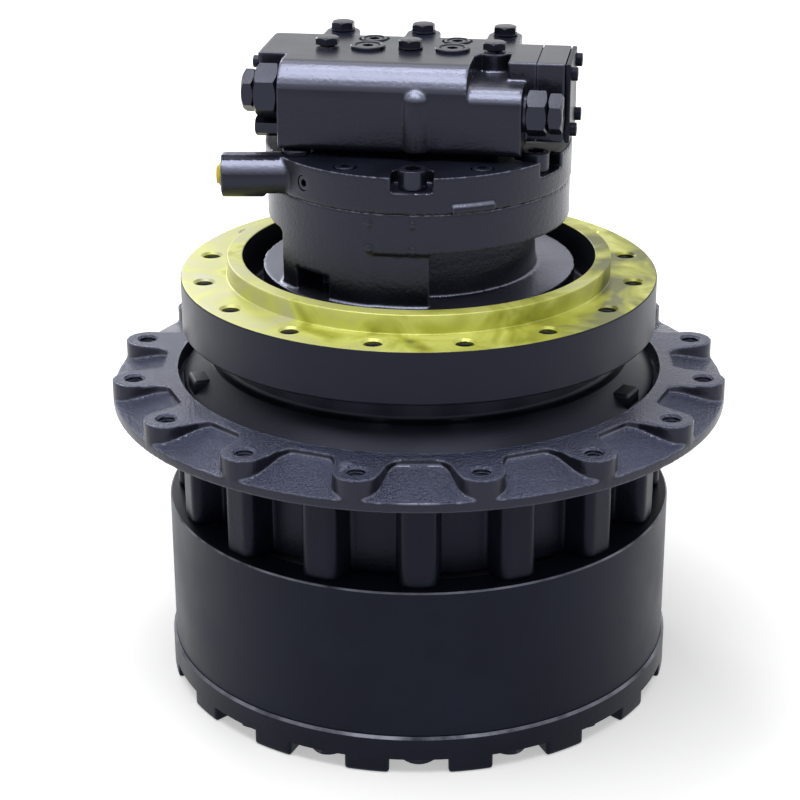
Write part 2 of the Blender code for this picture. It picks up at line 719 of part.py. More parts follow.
def build_cover_plugs():
    """Three socket plugs, flush inside the cover's dish."""
    depth = COVER_HEIGHT - COVER_INNER_DEPTH - Z_DISH
    profile = [
        (0, depth),
        (COVER_PLUG_RADIUS, depth),
        (COVER_PLUG_RADIUS, -FIT),
        (COVER_PLUG_HEAD_RADIUS, -FIT),
        (COVER_PLUG_HEAD_RADIUS, -COVER_PLUG_HEAD),
        (0, -COVER_PLUG_HEAD),
    ]
    for name, angle in zip(("drain_plug", "level_plug", "fill_plug"), cover_plug_angles()):
        plug = add_part(name, turned_mesh(profile, SCREW_STEPS, FACET_TURN), GROUND_STEEL)
        plug.location = (*polar(COVER_PLUG_CIRCLE, angle), Z_DISH)
        socket = cylinder_mesh(
            (0, 0, -THROUGH), (0, 0, COVER_PLUG_HEAD), hexagon_radius(COVER_PLUG_FLATS), 6
        )
        cut(plug, socket)


def build_ring_gear():
    """The smooth outer band, toothed inside for both stages."""
    low = Z_COVER_TOP + FIT
    tooth_low = Z_COVER_TOP + RING_REGISTER
    tooth_high = Z_RING_TOP - RING_REGISTER
    blank_radius = RING_PITCH_RADIUS - TIP_HEIGHT - MODULE / 2
    profile = [
        (RING_RADIUS - RING_CHAMFER, Z_RING_TOP),
        (RING_RADIUS, Z_RING_TOP - RING_CHAMFER),
        (RING_RADIUS, low),
        (RING_REGISTER_RADIUS, low),
        (RING_REGISTER_RADIUS, tooth_low),
        (blank_radius, tooth_low),
        (blank_radius, tooth_high),
        (RING_REGISTER_RADIUS, tooth_high),
        (RING_REGISTER_RADIUS, Z_RING_TOP),
    ]
    ring = add_part("ring_gear", turned_mesh(profile), BAND_PAINT)
    cut(ring, prism_mesh([ring_space(0)], Z_COVER_TOP - THROUGH, Z_RING_TOP + THROUGH))


def lobed_outline():
    """Return the flange's outline: 16 lobes that narrow outwards to round ends, straight valleys between."""
    points = []
    for angle in sector_angles(0.5):
        along = Vector(polar(1, angle))
        across = Vector((-along.y, along.x))
        half = LOBE_ROOT_WIDTH / 2
        root = math.sqrt(VALLEY_RADIUS**2 - half**2)
        centre = along * (LOBE_CIRCLE)
        points.append(tuple(along * root - across * half))
        for turn in (-90, -54, -18, 18, 54, 90):
            swing = math.radians(turn)
            out = along * math.cos(swing) + across * math.sin(swing)
            points.append(tuple(centre + LOBE_END_RADIUS * out))
        points.append(tuple(along * root + across * half))
    return points


def column_outline(angle):
    """Return one column's outline: deep in the hub's wall, with rounded outer corners."""
    half = COLUMN_WIDTH / 2
    inner = HUB_WALL_RADIUS - COLUMN_CORNER
    corner = COLUMN_FACE - COLUMN_CORNER
    side = half - COLUMN_CORNER
    outline = [(inner, -half)]
    outline += arc((corner, -side), COLUMN_CORNER, -math.pi / 2, 0, 2)
    outline += arc((corner, side), COLUMN_CORNER, 0, math.pi / 2, 2)
    outline.append((inner, half))
    turn = Matrix.Rotation(angle, 2)
    return [tuple(turn @ Vector(point)) for point in outline]


def build_hub():
    """The cast hub: bearing bores, columned wall and the lobed flange for the sprocket."""
    low = Z_RING_TOP + FIT
    skirt_radius = CARRIER_2_RADIUS + 2 * MODULE
    shoulder_radius = HUB_BORE - HUB_SHOULDER_STEP
    opening_low = Z_FLANGE_TOP - OPENING_DEPTH
    inlet = FLANGE_OPENING + COLLAR_RUN
    profile = [
        (inlet, Z_FLANGE_TOP - VALLEY_RISER),
        (VALLEY_RADIUS, Z_FLANGE_TOP - VALLEY_RISER),
        (FLANGE_RADIUS - FIT, Z_FLANGE_UNDER + FLANGE_EDGE),
        (FLANGE_RADIUS - FIT, Z_FLANGE_UNDER),
        (HUB_WALL_RADIUS, Z_FLANGE_UNDER),
        (HUB_WALL_RADIUS, low),
        (RING_REGISTER_RADIUS - FIT, low),
        (RING_REGISTER_RADIUS - FIT, Z_RING_TOP - RING_REGISTER + FIT),
        (skirt_radius, Z_RING_TOP - RING_REGISTER + FIT),
        (skirt_radius, Z_CARRIER_2_TOP + SPINDLE_END_GAP),
        (HUB_BORE, Z_CARRIER_2_TOP + SPINDLE_END_GAP + NUT_HEIGHT / 2),
        (HUB_BORE, Z_HUB_SHOULDER),
        (shoulder_radius, Z_HUB_SHOULDER),
        (shoulder_radius, Z_HUB_SHOULDER + HUB_SHOULDER),
        (HUB_BORE, Z_HUB_SHOULDER + HUB_SHOULDER),
        (HUB_BORE, Z_HUB_SEAL_SEAT),
        (SEAL_OUTER + FIT, Z_HUB_SEAL_SEAT),
        (SEAL_OUTER + FIT, opening_low),
        (inlet, opening_low),
    ]
    hub = add_part("hub", turned_mesh(profile), CAST_PAINT)
    round_opening = circle(FLANGE_OPENING, ROUND_STEPS)
    lobes = [lobed_outline(), round_opening]
    join(hub, prism_mesh(lobes, Z_FLANGE_UNDER + FLANGE_EDGE / 2, Z_FLANGE_TOP))
    columns = bmesh.new()
    for angle in sector_angles():
        column = prism_mesh([column_outline(angle)], low, Z_FLANGE_UNDER + FLANGE_EDGE / 4)
        columns.from_mesh(column)
    join(hub, finished(columns))
    holes = bmesh.new()
    for angle in sector_angles(0.5):
        x, y = polar(LOBE_CIRCLE, angle)
        start = (x, y, Z_FLANGE_UNDER - THROUGH)
        cylinder(holes, start, (x, y, Z_FLANGE_TOP + THROUGH), M20_THREAD_RADIUS, HOLE_STEPS)
    cut(hub, finished(holes))


def build_spindle():
    """The fixed casting: mount ring with pilot lip, neck, seal collar, bearing journal and splined stub."""
    collar_radius = FLANGE_OPENING - COLLAR_GAP
    shoulder = JOURNAL_RADIUS + RACE_WALL + FIT
    seal_neck = SEAL_INNER - COLLAR_GAP
    profile = [
        (LIP_OUTER, Z_LIP_TOP),
        (LIP_OUTER, Z_MOUNT_TOP),
        (MOUNT_RADIUS, Z_MOUNT_TOP),
        (MOUNT_RADIUS, Z_MOUNT_UNDER),
        (NECK_RADIUS, Z_MOUNT_UNDER),
        (NECK_RADIUS, Z_NECK),
        (COLLAR_TOP_RADIUS, Z_NECK),
        (collar_radius, Z_COLLAR_EDGE),
        (collar_radius, Z_COLLAR),
        (SEAL_OUTER + FIT, Z_COLLAR),
        (SEAL_OUTER + FIT, Z_SPINDLE_SEAL_SEAT),
        (seal_neck, Z_SPINDLE_SEAL_SEAT),
        (seal_neck, Z_HUB_SEAL_SEAT),
        (shoulder, Z_HUB_SEAL_SEAT),
        (shoulder, Z_JOURNAL_TOP),
        (JOURNAL_RADIUS, Z_JOURNAL_TOP),
        (JOURNAL_RADIUS, Z_SPINDLE_END),
        (STUB_RADIUS, Z_SPINDLE_END),
        (STUB_RADIUS, Z_CARRIER_2_PLATE + CARRIER_2_UPPER / 4),
        (STUB_BORE, Z_CARRIER_2_PLATE + CARRIER_2_UPPER / 4),
        (STUB_BORE, Z_SPINDLE_FLOOR),
        (SPINDLE_BORE, Z_SPINDLE_FLOOR),
        (SPINDLE_BORE, Z_CASE_SEAT),
        (SEAT_RADIUS, Z_CASE_SEAT),
        (SEAT_RADIUS, Z_LIP_TOP - RECESS_DEPTH),
        (LIP_INNER, Z_LIP_TOP - RECESS_DEPTH),
        (LIP_INNER, Z_LIP_TOP),
    ]
    spindle = add_part("spindle", turned_mesh(profile), CHROMATE)
    lugs = bmesh.new()
    for bearing in LUG_BEARINGS:
        low = (NECK_RADIUS + LUG_REACH, -LUG_WIDTH / 2, Z_COLLAR_EDGE - COLLAR_GAP)
        high = (collar_radius - LUG_REACH, LUG_WIDTH / 2, Z_NECK - LUG_DROP)
        box(lugs, low, high, front_angle(bearing))
    join(spindle, finished(lugs))
    holes = bmesh.new()
    for angle in sector_angles(0.5):
        x, y = polar(MOUNT_CIRCLE, angle)
        start = (x, y, Z_MOUNT_UNDER - THROUGH)
        cylinder(holes, start, (x, y, Z_MOUNT_TOP + THROUGH), M20_THREAD_RADIUS, HOLE_STEPS)
    cut(spindle, finished(holes))


def build_seals():
    """The floating seal's two rings, face to face."""
    low = ring_profile(SEAL_INNER, SEAL_OUTER, Z_HUB_SEAL_SEAT + FIT, Z_SEAL_FACE)
    high = ring_profile(SEAL_INNER, SEAL_OUTER, Z_SEAL_FACE + FIT, Z_SEAL_FACE + FIT + SEAL_HEIGHT)
    add_part("seal_ring_hub", turned_mesh(low), GROUND_STEEL)
    add_part("seal_ring_spindle", turned_mesh(high), GROUND_STEEL)


def race_profiles(low, flipped):
    """Return the inner and outer race's profiles of a taper roller bearing, the thick end up or down."""
    high = low + BEARING_WIDTH
    bore = JOURNAL_RADIUS + FIT
    shell = HUB_BORE - FIT
    lean = -RACE_TAPER if flipped else RACE_TAPER
    track = bore + RACE_WALL - FIT
    cup = shell - RACE_WALL + FIT
    inner = [(track - max(lean, 0), high), (track + min(lean, 0), low), (bore, low), (bore, high)]
    outer = [(shell, high), (shell, low), (cup + max(-lean, 0), low), (cup + max(lean, 0), high)]
    return inner, outer


def build_bearings():
    """Two main bearings back to back, and the nut that holds them on the journal."""
    for level, low, flipped in (("lower", Z_LOWER_BEARING, True), ("upper", Z_UPPER_BEARING, False)):
        inner, outer = race_profiles(low, flipped)
        add_part(f"bearing_inner_{level}", turned_mesh(inner), GROUND_STEEL)
        add_part(f"bearing_outer_{level}", turned_mesh(outer), GROUND_STEEL)
    nut = ring_profile(JOURNAL_RADIUS + FIT, JOURNAL_RADIUS + NUT_WALL, Z_SPINDLE_END, Z_NUT_TOP)
    add_part("bearing_nut", turned_mesh(nut), GEAR_STEEL)


def build_planets(stage, teeth, count, start, orbit, low, high, pin_radius):
    """A stage's planet gears, each with its origin on its own pin's axis."""
    for name, bearing in zip("abc", planet_bearings(count, start)):
        bore = circle((pin_radius + FIT) / math.cos(math.pi / SCREW_STEPS), SCREW_STEPS)
        outline = external_gear(teeth, planet_phase(teeth, bearing))
        mesh = prism_mesh([outline, bore], low, high)
        add_part(f"planet_{stage}{name}", mesh, GEAR_STEEL, at=(*polar(orbit, bearing), 0))


def build_pins(count, start, orbit, low, high, radius):
    """The slow stage's planet pins."""
    for name, bearing in zip("abc", planet_bearings(count, start)):
        x, y = polar(orbit, bearing)
        mesh = cylinder_mesh((0, 0, low), (0, 0, high), radius, SCREW_STEPS)
        add_part(f"planet_pin_2{name}", mesh, GROUND_STEEL, at=(x, y, 0))


def build_stage_1():
    """The fast stage: its planets turn on the pins that stand out from carrier 1."""
    build_planets(
        1, PLANET_1_TEETH, PLANET_1_COUNT, STAGE_1_START, ORBIT_1, Z_PLANET_1, Z_PLANET_1_TOP, PIN_1_RADIUS
    )
    eye = circle(SUN_2_NECK + FIT, ROUND_STEPS)
    rim = []
    for index in range(PLANET_1_COUNT * 2):
        bearing = STAGE_1_START + math.pi * index / PLANET_1_COUNT
        on_arm = index % 2 == 0
        reach = CARRIER_1_RADIUS * (1 if on_arm else CARRIER_1_WAIST)
        spread = math.radians(CARRIER_1_ARM_SPREAD if on_arm else CARRIER_1_WAIST_SPREAD)
        rim += arc((0, 0), reach, bearing - spread, bearing + spread, 3)
    plate = add_part("carrier_1", prism_mesh([rim, eye], Z_CARRIER_1, Z_CARRIER_1_TOP), GEAR_STEEL)
    bosses = bmesh.new()
    pins = bmesh.new()
    for bearing in planet_bearings(PLANET_1_COUNT, STAGE_1_START):
        x, y = polar(ORBIT_1, bearing)
        middle = Z_CARRIER_1 + CARRIER_1_THICKNESS / 2
        cylinder(bosses, (x, y, Z_PLANET_1_TOP + FIT), (x, y, middle), PIN_1_RADIUS * 1.5, SCREW_STEPS)
        end = (x, y, Z_PLANET_1_TOP + CARRIER_1_GAP)
        cylinder(pins, (x, y, Z_PLANET_1 - MODULE / 2), end, PIN_1_RADIUS, SCREW_STEPS)
    join(plate, finished(bosses))
    join(plate, finished(pins))


def build_stage_2():
    """The slow stage: a cage of two plates and three posts, fixed to the spindle's stub."""
    low = Z_CARRIER_2_WINDOW + FIT
    build_planets(
        2, PLANET_2_TEETH, PLANET_2_COUNT, STAGE_2_START, ORBIT_2, low, low + PLANET_2_WIDTH, PIN_2_RADIUS
    )
    build_pins(PLANET_2_COUNT, STAGE_2_START, ORBIT_2, Z_CARRIER_2, Z_CARRIER_2_TOP, PIN_2_RADIUS)
    stub_room = (STUB_RADIUS + FIT) / math.cos(math.pi / PLATE_STEPS)
    profile = [
        (CARRIER_2_RADIUS, Z_CARRIER_2_TOP),
        (CARRIER_2_RADIUS, Z_CARRIER_2_PLATE),
        (CARRIER_2_EYE, Z_CARRIER_2_PLATE),
        (CARRIER_2_EYE, Z_CARRIER_2_PLATE + CARRIER_2_UPPER / 4 - FIT),
        (stub_room, Z_CARRIER_2_PLATE + CARRIER_2_UPPER / 4 - FIT),
        (stub_room, Z_CARRIER_2_TOP),
    ]
    cage = add_part("carrier_2", turned_mesh(profile, PLATE_STEPS), GEAR_STEEL)
    lower = ring_profile(CARRIER_2_EYE, CARRIER_2_RADIUS, Z_CARRIER_2, Z_CARRIER_2_WINDOW)
    join(cage, turned_mesh(lower, PLATE_STEPS))
    posts = bmesh.new()
    holes = bmesh.new()
    for bearing in planet_bearings(PLANET_2_COUNT, STAGE_2_START):
        x, y = polar(CARRIER_2_POST_CIRCLE, bearing + math.pi / PLANET_2_COUNT)
        start = (x, y, Z_CARRIER_2_WINDOW - CARRIER_2_LOWER / 2)
        end = (x, y, Z_CARRIER_2_PLATE + CARRIER_2_UPPER / 2)
        cylinder(posts, start, end, CARRIER_2_POST_RADIUS, HOLE_STEPS)
        x, y = polar(ORBIT_2, bearing)
        high = Z_CARRIER_2_TOP + THROUGH
        cylinder(holes, (x, y, Z_CARRIER_2 - THROUGH), (x, y, high), PIN_2_RADIUS + FIT, SCREW_STEPS)
    join(cage, finished(posts))
    cut(cage, finished(holes))


def build_suns():
    """The input shaft with sun 1 on its end, and the hollow sun 2 that carrier 1 drives."""
    shaft = add_part(
        "input_shaft",
        cylinder_mesh((0, 0, Z_PLANET_1), (0, 0, Z_CASE_TOP + HEAD_HEIGHT / 4), SHAFT_RADIUS),
        GEAR_STEEL,
    )
    phase = sun_phase(SUN_1_TEETH, PLANET_1_TEETH, STAGE_1_START)
    join(shaft, prism_mesh([external_gear(SUN_1_TEETH, phase)], Z_THRUST_PAD + FIT, Z_PLANET_1_TOP))
    phase = sun_phase(SUN_2_TEETH, PLANET_2_TEETH, STAGE_2_START)
    low = Z_CARRIER_1_TOP + FIT
    mesh = prism_mesh([external_gear(SUN_2_TEETH, phase)], low, Z_CARRIER_2_PLATE)
    sun = add_part("sun_2", mesh, GEAR_STEEL)
    join(sun, cylinder_mesh((0, 0, Z_CARRIER_1), (0, 0, low + STAGE_GAP), SUN_2_NECK))
    cut(sun, cylinder_mesh((0, 0, Z_CARRIER_1 - THROUGH), (0, 0, Z_CARRIER_2_PLATE + THROUGH), SUN_2_BORE))


def build_motor_case(motor):
    """The motor's housing: flange in the pilot recess, barrel, cast bulge and upper disc."""
    low = Z_SPINDLE_FLOOR + FIT
    profile = [
        (CASE_DISC_RADIUS, Z_CASE_TOP),
        (CASE_DISC_RADIUS, Z_CASE_DISC),
        (CASE_BARREL_RADIUS, Z_CASE_DISC),
        (CASE_BARREL_RADIUS, Z_CASE_FLANGE_TOP),
        (CASE_FLANGE_RADIUS, Z_CASE_FLANGE_TOP),
        (CASE_FLANGE_RADIUS, Z_CASE_SEAT + FIT),
        (SPINDLE_BORE - FIT, Z_CASE_SEAT + FIT),
        (SPINDLE_BORE - FIT, low),
        (SHAFT_RADIUS + SHAFT_ROOM, low),
        (SHAFT_RADIUS + SHAFT_ROOM, Z_CASE_FLOOR),
        (CASE_CAVITY_RADIUS, Z_CASE_FLOOR),
        (CASE_CAVITY_RADIUS, Z_CASE_TOP),
    ]
    case = add_part("motor_case", turned_mesh(profile, turn=SPINDLE_PHASE), CAST_PAINT, motor)
    inside = (CASE_BARREL_RADIUS + CASE_CAVITY_RADIUS) / 2
    left = math.degrees(math.asin(BULGE_SIDE / CASE_DISC_RADIUS))
    outer = arc((0, 0), CASE_DISC_RADIUS, front_angle(-left), front_angle(BULGE_END), 8)
    inner = arc((0, 0), inside, front_angle(BULGE_END), front_angle(BULGE_START), 8)
    bulge = [(-BULGE_SIDE, BULGE_SIDE * 0.25), *outer, *inner]
    join(case, prism_mesh([bulge], Z_CASE_FLANGE_TOP - CASE_FLANGE / 2, Z_CASE_DISC + CASE_DISC_HEIGHT / 4))
    start, end = front_angle(POCKET_START), front_angle(POCKET_END)
    outer = arc((0, 0), CASE_DISC_RADIUS + THROUGH, start, end, 2)
    inner = arc((0, 0), CASE_BARREL_RADIUS + FIT, end, start, 2)
    cut(case, prism_mesh([outer + inner], Z_CASE_FLANGE_TOP, Z_CASE_FLANGE_TOP + POCKET_HEIGHT))
    cut(case, head_screw_holes())


def head_screw_places():
    """Return where the head's screws stand, as (x, y, angle)."""
    angles = [front_angle(HEAD_SCREW_START + 360 * index / HEAD_SCREWS) for index in range(HEAD_SCREWS)]
    return [(*polar(HEAD_SCREW_CIRCLE, angle), angle) for angle in angles]


def head_screw_holes():
    """Make the cutter of the holes that the head's screws pass through."""
    holes = bmesh.new()
    floor = Z_HEAD_TOP - HEAD_NOTCH_DEPTH
    for x, y, _ in head_screw_places():
        low = Z_CASE_TOP - HEAD_SCREW_GRIP - FIT
        cylinder(holes, (x, y, low), (x, y, floor + FIT), HEAD_SCREW_RADIUS + FIT, HOLE_STEPS)
    return finished(holes)


def build_motor_head(motor):
    """The head that carries the valve block: notched disc with the drain arm."""
    low = Z_CASE_TOP + FIT
    pocket = Z_CASE_TOP + HEAD_HEIGHT / 4 + FIT
    bore = SHAFT_RADIUS + SHAFT_ROOM
    profile = [
        (0, Z_HEAD_TOP),
        (HEAD_RADIUS, Z_HEAD_TOP),
        (HEAD_RADIUS, low),
        (bore, low),
        (bore, pocket),
        (0, pocket),
    ]
    head = add_part("motor_head", turned_mesh(profile), CAST_PAINT, motor)
    level = low + ARM_LEVEL
    turn = Matrix.Rotation(math.radians(ARM_TURN), 4, "Z")
    root = (-HEAD_RADIUS / 2, -ARM_OFFSET, level)
    arm = cylinder_mesh((-ARM_LENGTH, -ARM_OFFSET, level), root, ARM_RADIUS)
    join(head, placed(arm, turn))
    case_room = (CASE_DISC_RADIUS + FIT * 2) / math.cos(math.pi / ROUND_STEPS)
    cut(head, cylinder_mesh((0, 0, low - ARM_RADIUS), (0, 0, low), case_room, ROUND_STEPS))
    bore_start = (-ARM_LENGTH - THROUGH, -ARM_OFFSET, level)
    bore_end = (-ARM_LENGTH + ARM_BORE_DEPTH, -ARM_OFFSET, level)
    cut(head, placed(cylinder_mesh(bore_start, bore_end, ARM_BORE, SCREW_STEPS), turn))
    notches = bmesh.new()
    floor = Z_HEAD_TOP - HEAD_NOTCH_DEPTH
    *others, (x, y, _) = head_screw_places()
    for _, _, angle in others:
        start = (HEAD_SCREW_CIRCLE - HEAD_SCREW_HEAD_RADIUS - FIT * 5, -HEAD_NOTCH_WIDTH / 2, floor)
        end = (HEAD_RADIUS + THROUGH, HEAD_NOTCH_WIDTH / 2, Z_HEAD_TOP + THROUGH)
        box(notches, start, end, angle)
    # The last screw stands at the drain arm's root, in a round counterbore.
    cylinder(notches, (x, y, floor), (x, y, Z_HEAD_TOP + THROUGH), HEAD_SCREW_HEAD_RADIUS + FIT * 5, HOLE_STEPS)
    cut(head, finished(notches))
    cut(head, head_screw_holes())
    angle = front_angle(SIDE_PLUG_ANGLE)
    level = low + SIDE_PLUG_LEVEL
    start = (*polar(HEAD_RADIUS - SIDE_PLUG_LENGTH, angle), level)
    end = (*polar(HEAD_RADIUS + THROUGH, angle), level)
    cut(head, cylinder_mesh(start, end, SIDE_PLUG_RADIUS + FIT, SCREW_STEPS))


def build_head_fittings(motor):
    """The head's socket screws, the drain arm's shipping plug and the socket plug in its side."""
    floor = Z_HEAD_TOP - HEAD_NOTCH_DEPTH + FIT
    top = floor + HEAD_SCREW_HEAD
    for name, (x, y, _) in zip("abcdef", head_screw_places()):
        mesh = cylinder_mesh((0, 0, floor), (0, 0, top), HEAD_SCREW_HEAD_RADIUS, SCREW_STEPS)
        screw = add_part(f"head_screw_{name}", mesh, BAND_PAINT, motor, (x, y, 0))
        start = (0, 0, Z_CASE_TOP - HEAD_SCREW_GRIP)
        join(screw, cylinder_mesh(start, (0, 0, floor + FIT * 4), HEAD_SCREW_RADIUS, HOLE_STEPS))
        start = (0, 0, top - SOCKET_DEPTH)
        cut(screw, cylinder_mesh(start, (0, 0, top + THROUGH), HEAD_SCREW_RADIUS * 0.85, 6))
    level = Z_CASE_TOP + FIT + ARM_LEVEL
    tip = -ARM_LENGTH
    start = (tip - ARM_PLUG_PROUD, -ARM_OFFSET, level)
    plug = cylinder_mesh(start, (tip - FIT, -ARM_OFFSET, level), ARM_PLUG_FLANGE, SCREW_STEPS)
    turn = Matrix.Rotation(math.radians(ARM_TURN), 4, "Z")
    plug = add_part("shipping_plug", placed(plug, turn), PLUG_PLASTIC, motor)
    stem = cylinder_mesh(
        (tip - ARM_PLUG_PROUD / 2, -ARM_OFFSET, level),
        (tip + ARM_PLUG_STEM, -ARM_OFFSET, level),
        ARM_BORE - FIT,
        SCREW_STEPS,
    )
    join(plug, placed(stem, turn))
    angle = front_angle(SIDE_PLUG_ANGLE)
    level = Z_CASE_TOP + FIT + SIDE_PLUG_LEVEL
    start = (*polar(HEAD_RADIUS - SIDE_PLUG_LENGTH + FIT, angle), level)
    end = (*polar(HEAD_RADIUS - FIT * 4, angle), level)
    mesh = cylinder_mesh(start, end, SIDE_PLUG_RADIUS, SCREW_STEPS)
    side = add_part("head_socket_plug", mesh, BAND_PAINT, motor)
    start = (*polar(HEAD_RADIUS - SIDE_PLUG_LENGTH / 2, angle), level)
    end = (*polar(HEAD_RADIUS + THROUGH, angle), level)
    cut(side, cylinder_mesh(start, end, SIDE_PLUG_RADIUS / 2, 6))


def build_motor_inside(motor):
    """The swash plate in its cradle, the cylinder block, the valve plate and the brake piston."""
    block = ring_profile(SHAFT_RADIUS + FIT, BLOCK_RADIUS, Z_BLOCK, Z_BLOCK_TOP)
    block = add_part("cylinder_block", turned_mesh(block), GROUND_STEEL)
    bores = bmesh.new()
    for index in range(BLOCK_BORES):
        x, y = polar(BLOCK_BORE_CIRCLE, 2 * math.pi * index / BLOCK_BORES)
        start = (x, y, Z_BLOCK - THROUGH)
        cylinder(bores, start, (x, y, Z_BLOCK_TOP - BLOCK_BORE_END), BLOCK_BORE_RADIUS, 6)
    cut(block, finished(bores))
    plate = ring_profile(SHAFT_RADIUS + SHAFT_ROOM, BLOCK_RADIUS, Z_BLOCK_TOP + FIT, Z_CASE_TOP)
    add_part("valve_plate", turned_mesh(plate, turn=SPINDLE_PHASE), BRONZE, motor)
    tilt = math.radians(SWASH_TILT)
    cradle = arc((0, 0), SWASH_RADIUS, -math.pi + tilt, tilt, 12)
    across = Matrix(((0, 0, 1, 0), (1, 0, 0, 0), (0, 1, 0, 0), (0, 0, 0, 1)))
    swash = placed(prism_mesh([cradle], -SWASH_WIDTH / 2, SWASH_WIDTH / 2), across)
    swash = add_part("swash_plate", swash, GEAR_STEEL, motor, (0, 0, Z_SWASH))
    cut(swash, cylinder_mesh((0, 0, -SWASH_RADIUS - THROUGH), (0, 0, SWASH_RADIUS), SWASH_EYE))
    high = Z_CASE_TOP - BRAKE_REST
    outer = CASE_CAVITY_RADIUS - FIT
    brake = ring_profile(outer - BRAKE_WALL, outer, high - BRAKE_HEIGHT, high)
    add_part("brake_piston", turned_mesh(brake, turn=SPINDLE_PHASE), GROUND_STEEL, motor)


def along_u(mesh):
    """Lay a prism's outline in the V-Z plane and its height along U."""
    return placed(mesh, Matrix(((0, 0, 1, 0), (1, 0, 0, 0), (0, 1, 0, 0), (0, 0, 0, 1))))


def rounded_front(low, high, radius):
    """Return the section of the valve's front body, with rounded front edges."""
    foot = BODY_FOOT_RADIUS
    under = arc((BODY_FRONT + foot, low + foot), foot, -math.pi / 2, -math.pi, 4)
    over = arc((BODY_FRONT + radius, high - radius), radius, math.pi, math.pi / 2, 5)
    return [(BODY_BACK, low), *under, *over, (BODY_BACK, high)]


def valve_outline():
    """Return the valve block's plan: a plate with a lobe behind each rear bolt."""
    outline = [
        (VALVE_LEFT, VALVE_REAR),
        (VALVE_LEFT, VALVE_NOTCH_EDGE),
        (VALVE_NOTCH, VALVE_NOTCH_EDGE),
        (VALVE_NOTCH, BODY_FRONT + BODY_EDGE_RADIUS + FIT),
        (BODY_STEP, BODY_FRONT + BODY_EDGE_RADIUS + FIT),
        (BODY_STEP, VALVE_FRONT_EDGE),
        (VALVE_RIGHT, VALVE_FRONT_EDGE),
        (VALVE_RIGHT, VALVE_REAR),
    ]
    return outline


def build_valve_block(motor):
    """The counterbalance valve's casting, stepped at the right, on a pedestal on the motor's head."""
    block = add_part("valve_block", prism_mesh([valve_outline()], Z_VALVE, Z_VALVE_TOP), CAST_PAINT, motor)
    body = along_u(prism_mesh([rounded_front(Z_BODY_FOOT, Z_VALVE_TOP, BODY_EDGE_RADIUS)], BODY_LEFT, BODY_STEP))
    join(block, body)
    step_top = Z_VALVE_TOP - STEP_DROP
    step = along_u(prism_mesh([rounded_front(Z_BODY_FOOT, step_top, STEP_EDGE_RADIUS)], 0, BODY_RIGHT))
    join(block, step)
    extras = bmesh.new()
    rear_row, front_row = VALVE_BOLT_ROWS
    for column in VALVE_BOLT_COLUMNS:
        cylinder(extras, (column, rear_row, Z_VALVE), (column, rear_row, Z_VALVE_TOP), BOLT_LOBE_RADIUS)
    join(block, finished(extras))
    right = VALVE_BOLT_COLUMNS[-1]
    start = (right, front_row, step_top - THROUGH)
    join(block, cylinder_mesh(start, (right, front_row, Z_VALVE_TOP), BOLT_BOSS_RADIUS))
    rib = cylinder_mesh(
        (RIB_CENTRE, BODY_FRONT + RIB_RADIUS - RIB_PROUD, Z_BODY_FOOT + BODY_FOOT_RADIUS),
        (RIB_CENTRE, BODY_FRONT + RIB_RADIUS - RIB_PROUD, step_top - RIB_RADIUS / 2),
        RIB_RADIUS,
    )
    join(block, rib)
    dome = bmesh.new()
    bmesh.ops.create_uvsphere(dome, u_segments=SMALL_STEPS, v_segments=8, radius=RIB_RADIUS)
    crown = Vector((RIB_CENTRE, BODY_FRONT + RIB_RADIUS - RIB_PROUD, step_top - RIB_RADIUS / 2))
    bmesh.ops.translate(dome, verts=dome.verts, vec=crown)
    join(block, finished(dome))
    low = (VALVE_RIGHT - REAR_BLOCK_LAP, REAR_BLOCK_FRONT, Z_VALVE)
    join(block, box_mesh(low, (REAR_BLOCK_RIGHT, REAR_BLOCK_REAR, Z_VALVE_TOP - FIT * 2)))
    low = (-PEDESTAL_LEFT, -PEDESTAL_FRONT, Z_HEAD_TOP + FIT)
    join(block, box_mesh(low, (PEDESTAL_RIGHT, PEDESTAL_REAR, Z_VALVE + PEDESTAL_HEIGHT)))
    cut_valve_bores(block)


